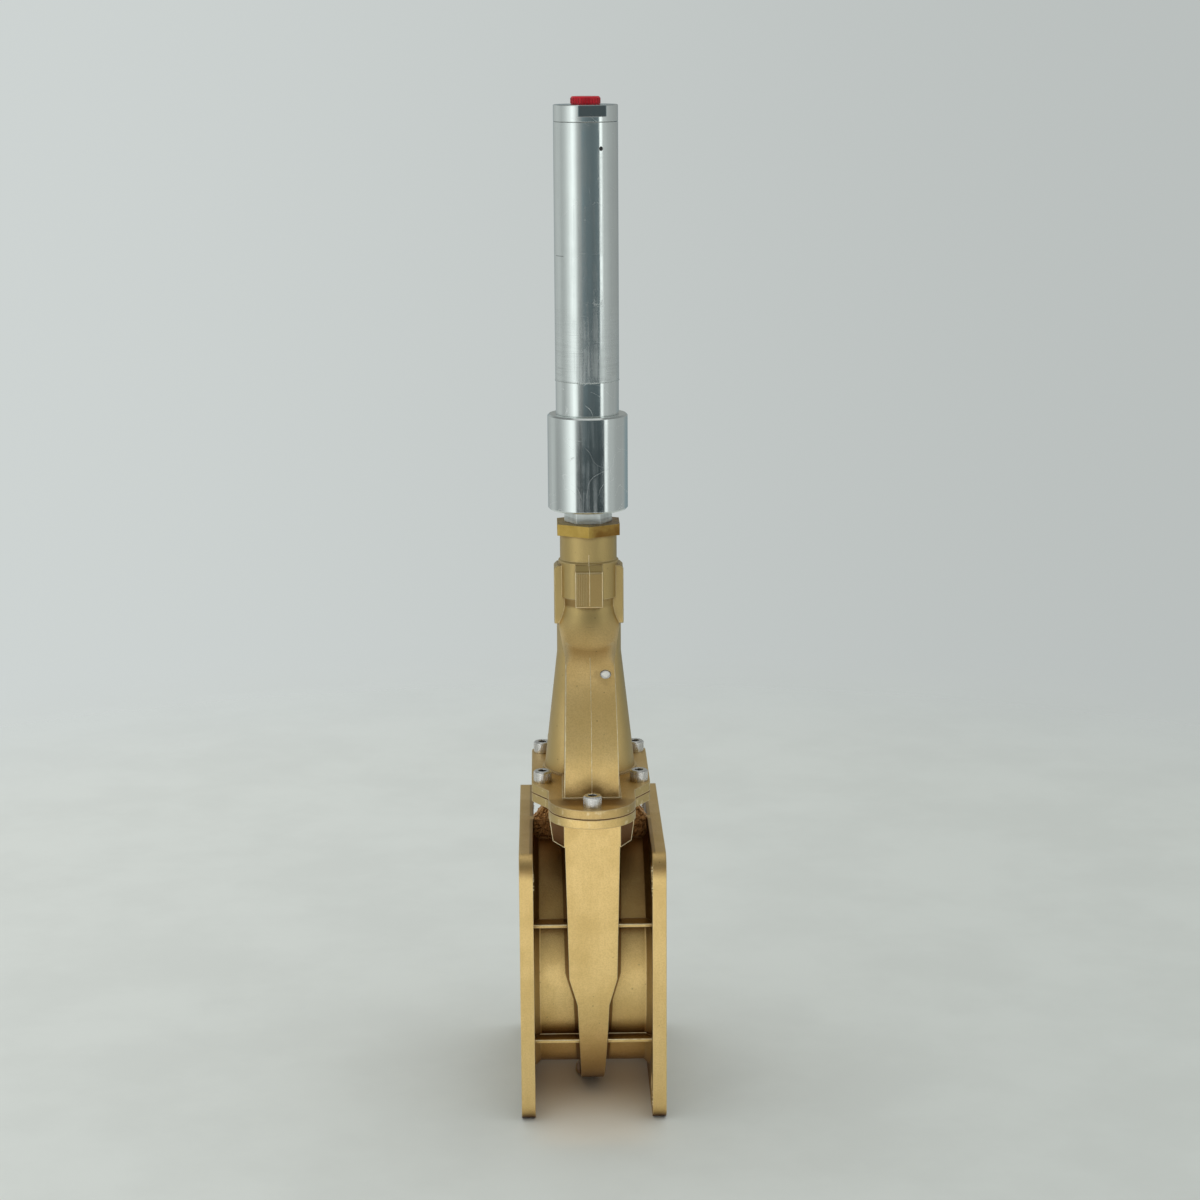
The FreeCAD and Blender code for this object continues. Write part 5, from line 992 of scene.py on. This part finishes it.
near_edge = math.sin(math.radians(-8.1))
room = mix_colours(tree, ramp_between(tree, direction["Z"], near_edge - 0.003, near_edge + 0.003),
                   room_ring(NEAR_ROOM), room_ring(FAR_ROOM))
wall = mix_colours(tree, ramp_between(tree, direction["Z"], 0.02, 0.14), room, FRONT_WALL,
                   "LIGHTEN")
ceiling = mix_colours(tree, ramp_between(tree, away, 0.0, 0.5), OVERHEAD, FRONT_WALL)
mirrored = mix_colours(tree, ramp_between(tree, direction["Z"], 0.3, 0.6), wall, ceiling)
# Painted shade: the surround that the camera sees is darker to the right.
pale = mix_colours(tree, ramp_between(tree, direction["X"], -0.28, 0.28), PALE_LEFT, PALE_RIGHT)
rays = add_node(tree, "ShaderNodeLightPath").outputs
by_metal = arithmetic(tree, "MAXIMUM", rays["Is Glossy Ray"], rays["Is Transmission Ray"])
shown = mix_colours(tree, by_metal, PLAIN_LIGHT, mirrored)
set_inputs(tree, tree.nodes["Background"],
           {"Color": mix_colours(tree, rays["Is Camera Ray"], shown, pale)})
world.cycles.sampling_method = "NONE"
print("stops of the room's two rings:", len(NEAR_ROOM), len(FAR_ROOM))


# %% [markdown]
# A box overhead and a card on the floor light the castings. A low card far in
# front lights the round of the pipe without showing in the cylinder, and a faint
# warm lamp under the pipe stands for the light that the brass gives back.

# %% Lamps
FACING_DOWN, FACING_UP = (0.0, 0.0, 0.0), (math.pi, 0.0, 0.0)
FACING_VALVE = (math.pi / 2, 0.0, 0.0)


def lamp_panel(name, place, turn, width, height, radiance, colour=(1.0, 1.0, 1.0)):
    """Area lamp whose power follows from its size and its radiance."""
    data = bpy.data.lights.new(name, "AREA")
    data.shape = "RECTANGLE"
    data.size, data.size_y = width, height
    data.energy = radiance * math.pi * width * height
    data.color = colour
    lamp = put_in_scene(name, data)
    lamp.location, lamp.rotation_euler = place, turn
    lamp.visible_camera = False
    print("lamp:", name, "power:", round(data.energy, 3))


lamp_panel("ceiling_box", (0.0, 0.5, 2.3), FACING_DOWN, 1.6, 2.1, 0.39)
lamp_panel("floor_card", (0.0, -1.02, 0.006), FACING_UP, 1.3, 1.15, 0.56)
lamp_panel("front_card", (0.0, -1.25, 0.075), FACING_VALVE, 1.2, 0.13, 0.95)
lamp_panel("brass_glow", (0.0, -0.06, 0.014), FACING_DOWN, 0.08, 0.16, 0.15, (1.0, 0.56, 0.2))

# %% [markdown]
# The floor is a disc of pale painted board that takes the soft shadow round the
# valve's foot, with a little painted shadow added round the front of the foot and
# painted shade that makes it darker to the right. Its rim melts into the
# surround, so that it needs no wall.

# %% Floor
FLOOR_RADIUS = 1.55
BOARD_LEFT, BOARD_RIGHT = (0.745, 0.770, 0.738, 1.0), (0.600, 0.628, 0.598, 1.0)
BROWN_SHADE, GREY_CLOUD = (0.2, 0.19, 0.15, 1.0), (0.2, 0.2, 0.18, 1.0)

floor_mesh = bpy.data.meshes.new("floor")
floor_mesh.from_pydata(full_circle(FLOOR_RADIUS, 0.0), [], [list(range(STEPS))])
floor = put_in_scene("floor", floor_mesh)

tree, shader = new_finish("pale_floor")
spot = object_point(tree)
clouds = ramp_between(tree, noise(tree, spot, 7.0, 5.0, 0.6), 0.35, 0.65)
# Painted shade: the board is darker to the right.
board = mix_colours(tree, ramp_between(tree, axes_of(tree, spot)["X"], -0.9, 0.6),
                    BOARD_LEFT, BOARD_RIGHT)
# Painted shadow: a faint brown shade round the front of the foot.
from_foot = measure(tree, "DISTANCE", spot, (0.0, -0.12, 0.0))
board = mix_colours(tree, ramp_between(tree, from_foot, 0.1, 0.3, 0.06, 0.0), board, BROWN_SHADE)
mottled = mix_colours(tree, times(tree, clouds, 0.07), board, GREY_CLOUD)
set_inputs(tree, shader, {"Base Color": mottled, "Roughness": 0.75})
fade = add_node(tree, "ShaderNodeMixShader",
                {0: ramp_between(tree, measure(tree, "LENGTH", spot), 0.8, 1.5),
                 1: shader.outputs[0],
                 2: add_node(tree, "ShaderNodeBsdfTransparent").outputs[0]})
set_inputs(tree, tree.nodes["Material Output"], {"Surface": fade.outputs[0]})
floor_mesh.materials.append(finishes["pale_floor"])


# %% [markdown]
# The camera stands where the photographer stood: nearly two metres in front, a
# little above the top of the cylinder, looking down on the joint of the castings.
# Place, tilt, turn, roll and focal length were worked out together from edges
# whose real size is known.

# %% Camera
CAMERA_PLACE = Vector((-0.0316, -1.9373, 0.7775))
CAMERA_TILT, CAMERA_TURN, CAMERA_ROLL = 90.0 - 12.01, -1.18, -0.33
FOCAL_PIXELS, PHOTO_PIXELS, SENSOR = 2703.5, 1200.0, 36.0

camera_data = bpy.data.cameras.new("camera")
camera_data.sensor_width = SENSOR
camera_data.lens = FOCAL_PIXELS / PHOTO_PIXELS * SENSOR
camera = put_in_scene("camera", camera_data)
camera.matrix_world = (Matrix.Translation(CAMERA_PLACE)
                       @ Matrix.Rotation(math.radians(CAMERA_TURN), 4, "Z")
                       @ Matrix.Rotation(math.radians(CAMERA_TILT), 4, "X")
                       @ Matrix.Rotation(math.radians(CAMERA_ROLL), 4, "Z"))
bpy.context.scene.camera = camera
bpy.context.scene.view_settings.view_transform = "Standard"
print("focal length in millimetres:", round(camera_data.lens, 2))
